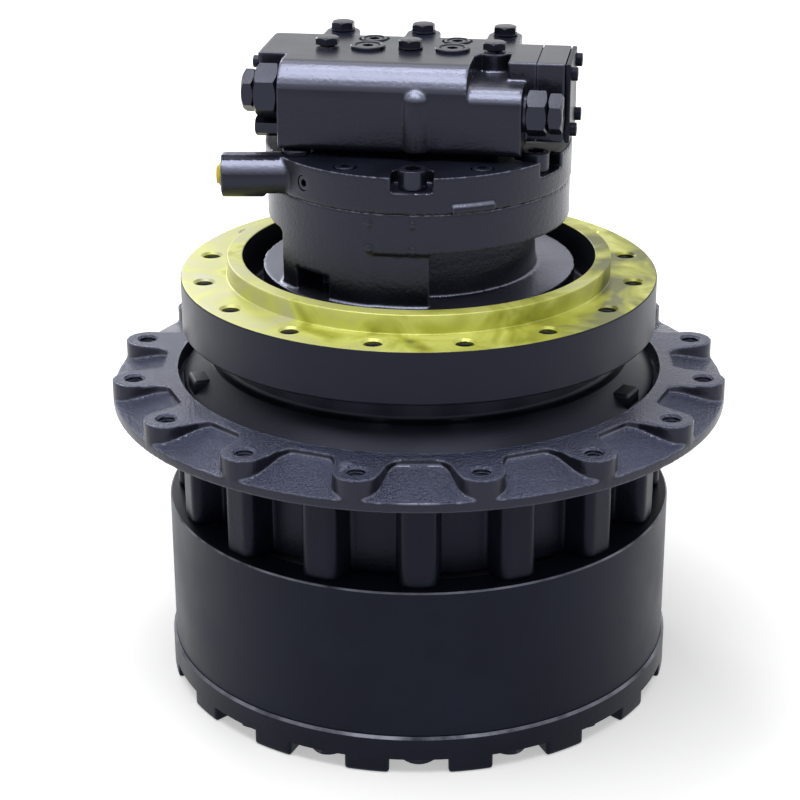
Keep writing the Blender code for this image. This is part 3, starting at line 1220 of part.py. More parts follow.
def cut_valve_bores(block):
    """Cut the block's bolt holes, ports, spool bore and relief valve bore."""
    cut(block, valve_bolt_holes())
    ports = bmesh.new()
    for column in PORT_COLUMNS:
        for row, radius in ((FRONT_PORT_ROW, FRONT_PORT_RADIUS), (REAR_PORT_ROW, REAR_PORT_RADIUS)):
            low = (column, row, Z_VALVE_TOP - PORT_PLUG_DEPTH)
            cylinder(ports, low, (column, row, Z_VALVE_TOP + THROUGH), radius + FIT, SCREW_STEPS)
    cut(block, finished(ports))
    level = Z_VALVE + SPOOL_LEVEL
    start = (BODY_LEFT - THROUGH, SPOOL_ROW, level)
    bore = (SPOOL_RADIUS + FIT) / math.cos(math.pi / SMALL_STEPS)
    cut(block, cylinder_mesh(start, (SPOOL_BORE_END, SPOOL_ROW, level), bore))
    counterbore = (BODY_LEFT + END_PLUG_STEM_LENGTH + FIT, SPOOL_ROW, level)
    cut(block, cylinder_mesh(start, counterbore, END_PLUG_STEM + FIT))
    level = Z_VALVE + TEST_PLUG_LEVEL
    end = (BODY_LEFT + TEST_PLUG_STEM_LENGTH + FIT, TEST_PLUG_ROW, level)
    start = (BODY_LEFT - THROUGH, TEST_PLUG_ROW, level)
    cut(block, cylinder_mesh(start, end, TEST_PLUG_STEM + FIT, HOLE_STEPS))
    level = Z_VALVE_TOP - GAUGE_PLUG_DROP
    start = (VALVE_LEFT - THROUGH, GAUGE_PLUG_ROW, level)
    end = (VALVE_LEFT + GAUGE_PLUG_PROUD + FIT, GAUGE_PLUG_ROW, level)
    cut(block, cylinder_mesh(start, end, GAUGE_PLUG_RADIUS + FIT, SCREW_STEPS))
    level = Z_VALVE + RELIEF_LEVEL
    start = (BODY_RIGHT - RELIEF_STEM_LENGTH - FIT, RELIEF_ROW, level)
    end = (BODY_RIGHT + THROUGH, RELIEF_ROW, level)
    cut(block, cylinder_mesh(start, end, RELIEF_STEM + FIT, SCREW_STEPS))


def valve_bolt_holes():
    """Make the cutter of the valve bolts' holes."""
    holes = bmesh.new()
    for row in VALVE_BOLT_ROWS:
        for column in VALVE_BOLT_COLUMNS:
            low = (column, row, Z_VALVE_TOP - VALVE_BOLT_GRIP - FIT)
            cylinder(holes, low, (column, row, Z_VALVE_TOP + THROUGH), VALVE_BOLT_RADIUS + FIT, HOLE_STEPS)
    return finished(holes)


def build_valve_bolts(motor):
    """The six hex bolts that hold the valve block down."""
    places = [(column, row) for row in VALVE_BOLT_ROWS for column in VALVE_BOLT_COLUMNS]
    for name, (column, row) in zip("abcdef", places):
        low = Z_VALVE_TOP + FIT
        head = cylinder_mesh((0, 0, low), (0, 0, low + VALVE_BOLT_HEAD), hexagon_radius(VALVE_BOLT_FLATS), 6)
        bolt = add_part(f"valve_bolt_{name}", head, BAND_PAINT, motor, (column, row, 0))
        start = (0, 0, Z_VALVE_TOP - VALVE_BOLT_GRIP)
        join(bolt, cylinder_mesh(start, (0, 0, low + VALVE_BOLT_HEAD / 2), VALVE_BOLT_RADIUS, HOLE_STEPS))


def build_port_plugs(motor):
    """The four socket plugs in the valve block's top."""
    rows = (
        ("front", FRONT_PORT_ROW, FRONT_PORT_RADIUS, FRONT_PORT_PROUD),
        ("rear", REAR_PORT_ROW, REAR_PORT_RADIUS, REAR_PORT_PROUD),
    )
    for row_name, row, radius, proud in rows:
        for side, column in zip(("left", "right"), PORT_COLUMNS):
            low = Z_VALVE_TOP - PORT_PLUG_DEPTH + FIT
            high = Z_VALVE_TOP + proud
            mesh = cylinder_mesh((0, 0, low), (0, 0, high), radius, SCREW_STEPS)
            plug = add_part(f"port_plug_{row_name}_{side}", mesh, BAND_PAINT, motor, (column, row, 0))
            socket = cylinder_mesh(
                (0, 0, high - SOCKET_DEPTH), (0, 0, high + THROUGH), hexagon_radius(PORT_SOCKET_FLATS), 6
            )
            cut(plug, socket)


def build_spool(motor):
    """The counterbalance spool with its plug and cap."""
    level = Z_VALVE + SPOOL_LEVEL
    half = SPOOL_LENGTH / 2
    land = SPOOL_LENGTH / SPOOL_LANDS
    waist = SPOOL_RADIUS - SPOOL_GROOVE
    profile = [
        (0, half),
        (SPOOL_RADIUS, half),
        (SPOOL_RADIUS, half - land),
        (waist, half - land),
        (waist, land / 2),
        (SPOOL_RADIUS, land / 2),
        (SPOOL_RADIUS, -land / 2),
        (waist, -land / 2),
        (waist, land - half),
        (SPOOL_RADIUS, land - half),
        (SPOOL_RADIUS, -half),
        (0, -half),
    ]
    middle = (BODY_LEFT + END_PLUG_STEM_LENGTH + SPOOL_BORE_END) / 2
    spool = along_u(turned_mesh(profile, SCREW_STEPS))
    add_part("counterbalance_spool", spool, GROUND_STEEL, motor, (middle, SPOOL_ROW, level))
    outer = (BODY_LEFT - FIT - END_PLUG_LENGTH, SPOOL_ROW, level)
    seat = (BODY_LEFT - FIT, SPOOL_ROW, level)
    plug = cylinder_mesh(outer, seat, hexagon_radius(END_PLUG_FLATS), 6)
    plug = add_part("spool_end_plug", plug, CAST_PAINT, motor)
    stem_end = (BODY_LEFT + END_PLUG_STEM_LENGTH, SPOOL_ROW, level)
    middle = (BODY_LEFT - END_PLUG_LENGTH / 2, SPOOL_ROW, level)
    join(plug, cylinder_mesh(middle, stem_end, END_PLUG_STEM))
    start = (outer[0] - FIT - END_CAP_LENGTH, SPOOL_ROW, level)
    end = (outer[0] - FIT, SPOOL_ROW, level)
    add_part("spool_end_cap", cylinder_mesh(start, end, hexagon_radius(END_CAP_FLATS), 6), CAST_PAINT, motor)


def build_relief_valve(motor):
    """The relief valve's body and cap at the right end."""
    level = Z_VALVE + RELIEF_LEVEL
    seat = BODY_RIGHT + FIT
    washer = (seat + RELIEF_WASHER, RELIEF_ROW, level)
    hex_end = (seat + RELIEF_WASHER + RELIEF_LENGTH, RELIEF_ROW, level)
    mesh = cylinder_mesh(washer, hex_end, hexagon_radius(RELIEF_FLATS), 6)
    body = add_part("relief_valve_body", mesh, CAST_PAINT, motor)
    disc_end = (seat + RELIEF_WASHER * 1.5, RELIEF_ROW, level)
    join(body, cylinder_mesh((seat, RELIEF_ROW, level), disc_end, RELIEF_FLATS / 2 - RELIEF_WASHER / 3))
    start = (BODY_RIGHT - RELIEF_STEM_LENGTH, RELIEF_ROW, level)
    stem_end = (seat + RELIEF_WASHER * 1.2, RELIEF_ROW, level)
    join(body, cylinder_mesh(start, stem_end, RELIEF_STEM, SCREW_STEPS))
    start = (hex_end[0] + FIT, RELIEF_ROW, level)
    end = (start[0] + RELIEF_CAP_LENGTH, RELIEF_ROW, level)
    cap = cylinder_mesh(start, end, hexagon_radius(RELIEF_CAP_FLATS), 6)
    add_part("relief_valve_cap", cap, CAST_PAINT, motor)


def build_left_plugs(motor):
    """The hex plug under the spool's end plug, and the round gauge plug behind it."""
    level = Z_VALVE + TEST_PLUG_LEVEL
    start = (BODY_LEFT - FIT - TEST_PLUG_LENGTH, TEST_PLUG_ROW, level)
    mesh = cylinder_mesh(start, (BODY_LEFT - FIT, TEST_PLUG_ROW, level), hexagon_radius(TEST_PLUG_FLATS), 6)
    plug = add_part("test_plug", mesh, CAST_PAINT, motor)
    start = (BODY_LEFT - TEST_PLUG_LENGTH / 2, TEST_PLUG_ROW, level)
    stem = (BODY_LEFT + TEST_PLUG_STEM_LENGTH, TEST_PLUG_ROW, level)
    join(plug, cylinder_mesh(start, stem, TEST_PLUG_STEM, HOLE_STEPS))
    level = Z_VALVE_TOP - GAUGE_PLUG_DROP
    start = (VALVE_LEFT - GAUGE_PLUG_PROUD, GAUGE_PLUG_ROW, level)
    end = (VALVE_LEFT + GAUGE_PLUG_PROUD, GAUGE_PLUG_ROW, level)
    add_part("gauge_plug", cylinder_mesh(start, end, GAUGE_PLUG_RADIUS, SCREW_STEPS), CAST_PAINT, motor)


def build_side_cover(motor):
    """The plate on the rear block's right side, with its four screws."""
    low = Vector((REAR_BLOCK_RIGHT + FIT, REAR_BLOCK_FRONT, Z_VALVE))
    high = Vector((low.x + SIDE_COVER_THICKNESS, REAR_BLOCK_REAR, Z_VALVE_TOP - FIT * 2))
    cover = add_part("valve_side_cover", box_mesh(low, high), CAST_PAINT, motor)
    screws = bmesh.new()
    for row in (low.y + SIDE_SCREW_INSET, high.y - SIDE_SCREW_INSET):
        for level in (low.z + SIDE_SCREW_INSET, high.z - SIDE_SCREW_INSET):
            start = (low.x + SIDE_COVER_THICKNESS / 2, row, level)
            cylinder(screws, start, (high.x + SIDE_SCREW_HEAD, row, level), SIDE_SCREW_RADIUS, HOLE_STEPS)
    join(cover, finished(screws))


def main():
    """Build the drive, from the end cover up."""
    clear_scene()
    new_collection(PART_NAME)
    cutters = new_collection("cutters")
    build_end_cover()
    build_cover_plugs()
    build_ring_gear()
    build_stage_1()
    build_stage_2()
    build_suns()
    build_bearings()
    build_seals()
    build_hub()
    build_spindle()
    motor = bpy.data.objects.new("motor_frame", None)
    bpy.data.collections[PART_NAME].objects.link(motor)
    motor.rotation_euler = (0, 0, math.radians(MOTOR_TURN))
    build_motor_case(motor)
    build_motor_head(motor)
    build_head_fittings(motor)
    build_motor_inside(motor)
    build_valve_block(motor)
    build_valve_bolts(motor)
    build_port_plugs(motor)
    build_spool(motor)
    build_relief_valve(motor)
    build_side_cover(motor)
    build_left_plugs(motor)
    cutters.hide_render = True


main()
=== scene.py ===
"""Excavator final drive, dressed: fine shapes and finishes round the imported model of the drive.

Every casting, machined ring and fastener that shows is modelled again here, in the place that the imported
model gives it, with cast rounds, turned edges and threads. The gears, bearings and motor pieces inside
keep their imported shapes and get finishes. Sizes are in millimetres, and the functions that draw turn them
into metres. The motor and all that stands on it are drawn in their own frame, U to the right and V to the
rear, and are then turned a little about the drive's axis.
"""

import logging
import math
from collections.abc import Callable, Iterator, Sequence
from contextlib import contextmanager
from dataclasses import dataclass
from enum import Enum

import bpy
from mathutils import Matrix, Vector


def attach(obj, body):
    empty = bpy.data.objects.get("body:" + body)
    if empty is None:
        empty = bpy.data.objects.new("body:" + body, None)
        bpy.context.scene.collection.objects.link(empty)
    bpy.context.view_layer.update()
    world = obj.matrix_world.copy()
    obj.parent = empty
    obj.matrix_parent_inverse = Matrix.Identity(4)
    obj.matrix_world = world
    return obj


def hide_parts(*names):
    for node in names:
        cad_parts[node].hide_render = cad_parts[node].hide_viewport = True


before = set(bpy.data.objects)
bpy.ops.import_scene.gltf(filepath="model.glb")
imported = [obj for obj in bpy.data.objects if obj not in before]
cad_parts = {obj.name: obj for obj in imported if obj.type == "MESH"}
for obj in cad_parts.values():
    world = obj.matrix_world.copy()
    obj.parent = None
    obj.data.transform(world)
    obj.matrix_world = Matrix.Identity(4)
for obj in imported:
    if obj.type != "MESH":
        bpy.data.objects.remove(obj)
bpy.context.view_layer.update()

LOG = logging.getLogger("final_drive")
MM = 0.001
MERGE = MM / 100  # points that lie closer are one
FULL_TURN = 2 * math.pi
FRONT = -90  # direction of the front, in degrees from +X
SECTORS = 16  # lobes, columns, notches and mount holes round the drive
PITCH = 360 / SECTORS
MOTOR_TURN = -8.1  # of the motor's frame about the drive's axis
ROUND = 192  # steps of the big turned pieces
SMALL = 48  # steps of pins, plugs and bosses
CREASE = 34  # edges that turn more than this stay sharp
LETTERS = "abcdef"
HUB_SIDE = "hub_side"
SPINDLE_SIDE = "spindle_side"

Piece = bpy.types.Object
Tree = bpy.types.NodeTree
Socket = bpy.types.NodeSocket
Point = tuple[float, float]
Place = tuple[float, float, float]
Line = tuple[Place, Place]


class How(Enum):
    """How one form works on another."""

    ADD = "UNION"
    CUT = "DIFFERENCE"
    KEEP = "INTERSECT"


class Solver(Enum):
    """Which boolean suits the meshes: dense castings are closed skins, turned pieces may touch."""

    SKIN = "MANIFOLD"
    TOUCHING = "EXACT"


def pick(first: Piece, *others: Piece) -> Piece:
    """Select these objects and nothing else, with the first one active.

    Args:
        first: the object that becomes active.
        others: what else is selected.

    Returns:
        The active object.
    """
    bpy.ops.object.select_all(action="DESELECT")
    for each in (first, *others):
        each.select_set(True)
    bpy.context.view_layer.objects.active = first
    return first


@contextmanager
def editing(piece: Piece) -> Iterator[None]:
    """Open a piece in edit mode with all of it selected, and close it again.

    Args:
        piece: the piece to edit.
    """
    pick(piece)
    bpy.ops.object.mode_set(mode="EDIT")
    bpy.ops.mesh.select_all(action="SELECT")
    yield
    bpy.ops.object.mode_set(mode="OBJECT")


def turned(piece: Piece, degrees: float) -> Piece:
    """Turn a piece's mesh about the drive's axis."""
    piece.data.transform(Matrix.Rotation(math.radians(degrees), 4, "Z"))
    return piece


def moved(piece: Piece, offset: Place) -> Piece:
    """Move a piece's mesh by an offset."""
    piece.data.transform(Matrix.Translation(Vector(offset) * MM))
    return piece


def settled(name: str) -> Piece:
    """Name the new primitive and apply its place to its mesh.

    Args:
        name: the new piece's name.

    Returns:
        The new piece.
    """
    piece = pick(bpy.context.object)
    piece.name = name
    bpy.ops.object.transform_apply(location=True, rotation=True, scale=True)
    return piece


def drawn(name: str, path: Sequence[Place]) -> Piece:
    """Draw a closed line by extruding one vertex from point to point.

    Args:
        name: the new piece's name.
        path: the line's points.

    Returns:
        A piece that holds only the line.
    """
    bpy.ops.object.select_all(action="DESELECT")
    bpy.ops.mesh.primitive_plane_add(size=MM)
    piece = bpy.context.object
    piece.name = name
    bpy.ops.object.mode_set(mode="EDIT")
    bpy.ops.mesh.merge(type="CENTER")
    points = [Vector(point) * MM for point in path]
    bpy.ops.transform.translate(value=points[0])
    for start, end in zip(points, points[1:] + points[:1]):
        bpy.ops.mesh.extrude_region_move(TRANSFORM_OT_translate={"value": end - start})
    bpy.ops.mesh.select_all(action="SELECT")
    bpy.ops.mesh.remove_doubles(threshold=MERGE)
    bpy.ops.object.mode_set(mode="OBJECT")
    return piece


def lathe(name: str, profile: Sequence[Point], steps: int = ROUND) -> Piece:
    """Spin a closed profile about the drive's axis into a solid.

    Args:
        name: the new piece's name.
        profile: points of (radius, height).
        steps: how many facets go round.

    Returns:
        The turned piece.
    """
    piece = drawn(name, [(radius, 0, height) for radius, height in profile])
    with editing(piece):
        bpy.ops.mesh.spin(steps=steps, angle=FULL_TURN, center=(0, 0, 0), axis=(0, 0, 1))
        bpy.ops.mesh.select_all(action="SELECT")
        bpy.ops.mesh.remove_doubles(threshold=MERGE)
        bpy.ops.mesh.dissolve_degenerate(threshold=MERGE / 10)
        bpy.ops.mesh.select_all(action="SELECT")
        bpy.ops.mesh.normals_make_consistent(inside=False)
    return piece


def extruded(name: str, path: Sequence[Place], reach: Place) -> Piece:
    """Fill a closed line and extrude it.

    Args:
        name: the new piece's name.
        path: the line's points.
        reach: how far it is extruded, in metres.

    Returns:
        The solid.
    """
    piece = drawn(name, path)
    with editing(piece):
        bpy.ops.mesh.edge_face_add()
        bpy.ops.mesh.extrude_region_move(TRANSFORM_OT_translate={"value": reach})
        bpy.ops.mesh.select_all(action="SELECT")
        bpy.ops.mesh.normals_make_consistent(inside=False)
    return piece


def slab(name: str, outline: Sequence[Point], low: float, high: float) -> Piece:
    """Extrude a flat outline of (x, y) points from one height to another."""
    return extruded(name, [(x, y, low) for x, y in outline], (0, 0, (high - low) * MM))


def beam(name: str, section: Sequence[Point], left: float, right: float) -> Piece:
    """Extrude a section of (v, z) points along U, from left to right."""
    return extruded(name, [(left, v, z) for v, z in section], ((right - left) * MM, 0, 0))


def rod(name: str, start: Place, end: Place, radius: float, sides: int = SMALL) -> Piece:
    """Add a cylinder between two points.

    Args:
        name: the new piece's name.
        start: the middle of one end.
        end: the middle of the other end.
        radius: its radius, to the corners of a hexagon.
        sides: how many facets go round.

    Returns:
        The cylinder.
    """
    first, last = Vector(start) * MM, Vector(end) * MM
    along_it = last - first
    bpy.ops.object.select_all(action="DESELECT")
    bpy.ops.mesh.primitive_cylinder_add(
        vertices=sides,
        radius=radius * MM,
        depth=along_it.length,
        location=(first + last) / 2,
        rotation=along_it.to_track_quat("Z", "Y").to_euler(),
    )
    return settled(name)


def ball(name: str, centre: Place, radius: float) -> Piece:
    """Add a sphere.

    Args:
        name: the new piece's name.
        centre: its middle.
        radius: its radius.

    Returns:
        The sphere.
    """
    bpy.ops.object.select_all(action="DESELECT")
    bpy.ops.mesh.primitive_uv_sphere_add(radius=radius * MM, location=Vector(centre) * MM)
    return settled(name)


def block(name: str, low: Place, high: Place) -> Piece:
    """Add a box.

    Args:
        name: the new piece's name.
        low: its corner at the lower left front.
        high: its corner at the upper right rear.

    Returns:
        The box.
    """
    first, last = Vector(low) * MM, Vector(high) * MM
    bpy.ops.object.select_all(action="DESELECT")
    bpy.ops.mesh.primitive_cube_add(size=1, location=(first + last) / 2, scale=last - first)
    return settled(name)


def upright(place: Point, low: float, high: float) -> Line:
    """Return the ends of an upright line."""
    return (*place, low), (*place, high)


def along(left: float, right: float, axis: Point) -> Line:
    """Return the ends of a line along U, at a row and a level."""
    return (left, *axis), (right, *axis)


def spoke(bearing: float, inner: float, outer: float, level: float) -> Line:
    """Return the ends of a level line between two radii."""
    return (*at_bearing(inner, bearing), level), (*at_bearing(outer, bearing), level)


def applied(piece: Piece, kind: str, **settings: object) -> Piece:
    """Give a piece a modifier and apply it.

    Args:
        piece: the piece.
        kind: the modifier's type.
        settings: the modifier's settings.

    Returns:
        The same piece.
    """
    step = piece.modifiers.new(kind.lower(), kind)
    for key, value in settings.items():
        setattr(step, key, value)
    pick(piece)
    bpy.ops.object.modifier_apply(modifier=step.name)
    return piece


def shaped(piece: Piece, how: How, tool: Piece, solver: Solver = Solver.TOUCHING) -> Piece:
    """Add a tool's form to a piece, or cut it away, and remove the tool.

    Args:
        piece: the piece.
        how: what the tool does to it.
        tool: the form that works on it.
        solver: the boolean that suits the two.

    Returns:
        The same piece.
    """
    applied(piece, "BOOLEAN", operation=how.value, object=tool, solver=solver.value)
    bpy.data.objects.remove(tool)
    return piece


def drilled(casting: Piece, *tools: Piece) -> Piece:
    """Cut forms out of a dense casting, one after the other.

    Args:
        casting: the casting.
        tools: the forms.

    Returns:
        The same casting.
    """
    for tool in tools:
        shaped(casting, How.CUT, tool, Solver.SKIN)
    return casting


def joined(name: str, *pieces: Piece) -> Piece:
    """Join pieces into one object.

    Args:
        name: the object's name.
        pieces: the pieces, of which the first one stays.

    Returns:
        The object.
    """
    pick(*pieces)
    if len(pieces) > 1:
        bpy.ops.object.join()
    pieces[0].name = name
    return pieces[0]


def bevelled(piece: Piece, width: float, segments: int = 2, angle: float = 40) -> Piece:
    """Break a piece's edges that are sharper than an angle."""
    return applied(
        piece,
        "BEVEL",
        width=width * MM,
        segments=segments,
        limit_method="ANGLE",
        angle_limit=math.radians(angle),
    )


def ringed(piece: Piece, first: float = 0, count: int = SECTORS, among: int = 0) -> Piece:
    """Copy a piece that stands at the front round the drive's axis, each copy with its own mesh.

    Args:
        piece: the piece at the front.
        first: the first copy's bearing in degrees.
        count: how many copies are made.
        among: how many would fill the ring, where some are left out.

    Returns:
        All copies as one object.
    """
    made = []
    for index in range(count):
        each = piece.copy()
        each.data = piece.data.copy()
        turned(each, first + 360 * index / (among or count))
        bpy.context.scene.collection.objects.link(each)
        made.append(each)
    name = piece.name
    bpy.data.objects.remove(piece)
    return joined(name, *made)


def cast(name: str, skin: float, passes: int, keep: float, *shells: Piece) -> Piece:
    """Melt rough forms into one skin with the soft rounds and fillets of a sand casting.

    Args:
        name: the casting's name.
        skin: the skin's cell size.
        passes: how often it is smoothed.
        keep: the share of triangles that stay.
        shells: the forms, each closed.

    Returns:
        The casting.
    """
    piece = joined(name, *shells)
    applied(piece, "REMESH", mode="VOXEL", voxel_size=skin * MM)
    applied(piece, "SMOOTH", factor=0.5, iterations=passes)
    return applied(piece, "DECIMATE", ratio=keep)


def on_arc(centre: Point, radius: float, start: float, end: float, steps: int = 6) -> list[Point]:
    """Return an arc's points between two angles in degrees, ends included."""
    turns = [math.radians(start + (end - start) * index / steps) for index in range(steps + 1)]
    return [(centre[0] + radius * math.cos(turn), centre[1] + radius * math.sin(turn)) for turn in turns]


def at_bearing(radius: float, bearing: float) -> Point:
    """Return the (x, y) point at a radius and a bearing in degrees from the front towards the right."""
    turn = math.radians(bearing + FRONT)
    return radius * math.cos(turn), radius * math.sin(turn)


def softened(corners: Sequence[tuple[float, ...]], steps: int = 4) -> list[Point]:
    """Return an outline whose corners with a third number are rounded to that radius.

    Args:
        corners: points of (a, b) or (a, b, radius).
        steps: facets of each round.

    Returns:
        The outline's points.
    """
    outline: list[Point] = []
    for index, corner in enumerate(corners):
        here = Vector(corner[:2])
        if len(corner) == 2:
            outline.append((here.x, here.y))
            continue
        back = (Vector(corners[index - 1][:2]) - here).normalized()
        ahead = (Vector(corners[(index + 1) % len(corners)][:2]) - here).normalized()
        half = back.angle(ahead) / 2
        reach = corner[2] / math.tan(half)
        centre = here + (back + ahead).normalized() * corner[2] / math.sin(half)
        first, last = here + back * reach - centre, here + ahead * reach - centre
        swing = first.angle_signed(last)
        for step in range(steps + 1):
            outline.append(tuple(centre + Matrix.Rotation(-swing * step / steps, 2) @ first))
    return outline


def srgb(code: str) -> tuple[float, float, float, float]:
    """Turn an sRGB hex colour into a linear one.

    Args:
        code: the colour, as #rrggbb.

    Returns:
        Its linear red, green and blue, and full cover.
    """
    parts = [int(code[index : index + 2], 16) / 255 for index in (1, 3, 5)]
    linear = [part / 12.92 if part <= 0.04045 else ((part + 0.055) / 1.055) ** 2.4 for part in parts]
    return (*linear, 1.0)


def add_node(
    tree: Tree,
    kind: str,
    sockets: dict[str | int, object] | None = None,
    stops: dict[float, str] | None = None,
    **settings: object,
) -> bpy.types.Node:
    """Add a shader node.

    Args:
        tree: the material's nodes.
        kind: the node's type, without its prefix.
        sockets: each input's value, or the output that it is linked to.
        stops: a colour ramp's sRGB colours, by their places.
        settings: the node's own settings.

    Returns:
        The node.
    """
    node = tree.nodes.new("ShaderNode" + kind)
    for key, value in settings.items():
        setattr(node, key, value)
    for index, (place, colour) in enumerate((stops or {}).items()):
        marks = node.color_ramp.elements
        mark = marks[index] if index < len(marks) else marks.new(place)
        mark.position = place
        mark.color = srgb(colour)
    for key, value in (sockets or {}).items():
        if isinstance(value, Socket):
            tree.links.new(value, node.inputs[key])
        else:
            node.inputs[key].default_value = value
    return node


def per_metre(millimetres: float) -> float:
    """Return the texture scale at which a pattern repeats about once in this size."""
    return 1000 / millimetres


def marks_apart(millimetres: float) -> float:
    """Return the wave texture's scale at which its lines stand this far apart."""
    return FULL_TURN / (20 * millimetres * MM)


def new_material(name: str) -> tuple[bpy.types.Material, Tree, bpy.types.Node, Socket]:
    """Make an empty material.

    Args:
        name: the material's name.

    Returns:
        The material, its nodes, its shader and the place on the piece.
    """
    made = bpy.data.materials.new(name)
    made.use_nodes = True
    tree = made.node_tree
    return made, tree, tree.nodes["Principled BSDF"], add_node(tree, "TexCoord").outputs["Object"]


def surfaced(
    shader: bpy.types.Node,
    colour: Socket,
    patches: Socket,
    gloss: Point,
    layers: Sequence[tuple[Socket, float, float]],
) -> None:
    """Give a shader its colour, its patchy gloss and its relief.

    Args:
        shader: the material's shader.
        colour: its colour.
        patches: the pattern that its roughness follows.
        gloss: its roughness, low and high.
        layers: each bump's height map, strength and height in millimetres, laid over each other.
    """
    tree = shader.id_data
    bounds = {"From Min": 0.3, "From Max": 0.7, "To Min": gloss[0], "To Max": gloss[1]}
    rough = add_node(tree, "MapRange", {"Value": patches, **bounds}).outputs["Result"]
    normal = None
    for height, strength, depth in layers:
        sockets = {"Height": height, "Strength": strength, "Distance": depth * MM}
        if normal:
            sockets["Normal"] = normal
        normal = add_node(tree, "Bump", sockets).outputs["Normal"]
    for name, value in (("Base Color", colour), ("Roughness", rough), ("Normal", normal)):
        tree.links.new(value, shader.inputs[name])


@dataclass(frozen=True)
class Enamel:
    """Navy alkyd enamel, sprayed over iron or steel.

    On a sand casting the gloss follows the mould's grit, so light breaks into fine sparkles on level
    faces. On dense castings the sharp edges are painted a paler blue, a painted highlight. On a turned face
    it lies almost smooth and follows the tool's rings.
    """

    name: str
    deep: str
    light: str
    grit: float  # size of the surface's grains
    relief: float  # their height
    gloss: Point  # roughness, low and high
    swell: float = 0.15  # height of the casting's slow waves
    edge: float = 0.0  # how far sharp edges are painted a paler blue, a painted highlight, on dense castings only
    lay: float = 0.0  # spacing of the turning marks round the axis
    depth: float = 1.3  # the gloss coat's index of refraction
    sheen: float = 0.0  # its index where it looks up, as the spray lies thicker and glossier there

    def layers(self, tree: Tree, place: Socket) -> list[tuple[Socket, float, float]]:
        """Return the waves, pits, grains and turning marks of the coat.

        Args:
            tree: the material's nodes.
            place: the place on the piece.

        Returns:
            Each bump's height map, strength and height.
        """
        waves = add_node(tree, "TexNoise", {"Vector": place, "Scale": per_metre(34), "Detail": 2.0})
        pits = add_node(tree, "TexVoronoi", {"Vector": place, "Scale": per_metre(self.grit * 2.6)})
        grit = add_node(tree, "TexNoise", {"Vector": place, "Scale": per_metre(self.grit), "Detail": 3.0})
        made = [
            (waves.outputs["Fac"], 0.5, self.swell),
            (pits.outputs["Distance"], 0.5, self.relief),
            (grit.outputs["Fac"], 0.8, self.relief),
        ]
        if self.lay:
            sockets = {"Vector": place, "Scale": marks_apart(self.lay), "Distortion": 0.6, "Detail": 1.0}
            lines = add_node(tree, "TexWave", sockets, wave_type="BANDS", bands_direction="Z")
            made.append((lines.outputs["Fac"], 0.35, 0.05))
        return made

    def material(self) -> bpy.types.Material:
        """Build the paint.

        Returns:
            The material.
        """
        made, tree, shader, place = new_material(self.name)
        sockets = {"Vector": place, "Scale": per_metre(70), "Detail": 4.0}
        patches = add_node(tree, "TexNoise", sockets).outputs["Fac"]
        stops = {0.35: self.deep, 0.7: self.light}
        colour = add_node(tree, "ValToRGB", {"Fac": patches}, stops).outputs["Color"]
        # Painted highlight: sharp edges, found by their pointiness, are mixed toward a paler blue.
        if self.edge:
            sharp = add_node(tree, "NewGeometry").outputs["Pointiness"]
            bounds = {"From Min": 0.52, "From Max": 0.62, "To Max": self.edge}
            rim = add_node(tree, "MapRange", {"Value": sharp, **bounds}).outputs["Result"]
            sockets = {0: rim, 6: colour, 7: srgb("#7b829a")}
            colour = add_node(tree, "Mix", sockets, data_type="RGBA").outputs[2]
        surfaced(shader, colour, patches, self.gloss, self.layers(tree, place))
        shader.inputs["IOR"].default_value = self.depth
        if self.sheen:
            facing = add_node(tree, "NewGeometry").outputs["Normal"]
            rise = add_node(tree, "SeparateXYZ", {"Vector": facing}).outputs["Z"]
            bounds = {"From Min": 0.22, "From Max": 0.5, "To Min": self.depth, "To Max": self.sheen}
            coat = add_node(tree, "MapRange", {"Value": rise, **bounds}).outputs["Result"]
            tree.links.new(coat, shader.inputs["IOR"])
        shader.inputs["Specular Tint"].default_value = srgb("#dbe0ff")
        return made


@dataclass(frozen=True)
class Chromate:
    """Yellow chromate on turned steel.

    The tool leaves fine rings round the axis, and the film's thickness wanders between straw and olive,
    so the metal's reflections change tint round the ring. Across the drive the colour is also painted paler
    toward the left and darker olive toward the right: painted light and painted shade.
    """

    name: str
    film: dict[float, str]
    lay: float  # spacing of the turning marks, set coarse enough to show
    side_light_drift: float = 0.5  # how far the colour is pulled toward olive over a metre toward +X: painted light on the left, painted shade on the right
    gloss: Point = (0.3, 0.45)

    def material(self) -> bpy.types.Material:
        """Build the plated metal.

        Returns:
            The material.
        """
        made, tree, shader, place = new_material(self.name)
        sockets = {"Vector": place, "Scale": per_metre(75), "Detail": 3.0, "Distortion": 0.8}
        film = add_node(tree, "TexNoise", sockets).outputs["Fac"]
        sockets = {"Vector": place, "Scale": marks_apart(self.lay), "Distortion": 0.4}
        marks = add_node(tree, "TexWave", sockets, wave_type="RINGS", rings_direction="Z").outputs["Fac"]
        sockets = {"Vector": place, "Scale": per_metre(28), "Detail": 5.0}
        smears = add_node(tree, "TexNoise", sockets).outputs["Fac"]
        # Painted light and shade: the film's colour is pulled paler toward -X and darker olive toward +X.
        across = add_node(tree, "SeparateXYZ", {"Vector": place}).outputs["X"]
        sockets = {0: across, 1: -self.side_light_drift, 2: film}
        film_and_side_light = add_node(tree, "Math", sockets, operation="MULTIPLY_ADD").outputs[0]
        colour = add_node(tree, "ValToRGB", {"Fac": film_and_side_light}, self.film).outputs["Color"]
        surfaced(shader, colour, smears, self.gloss, [(marks, 0.4, 0.03)])
        shader.inputs["Metallic"].default_value = 0.2
        return made


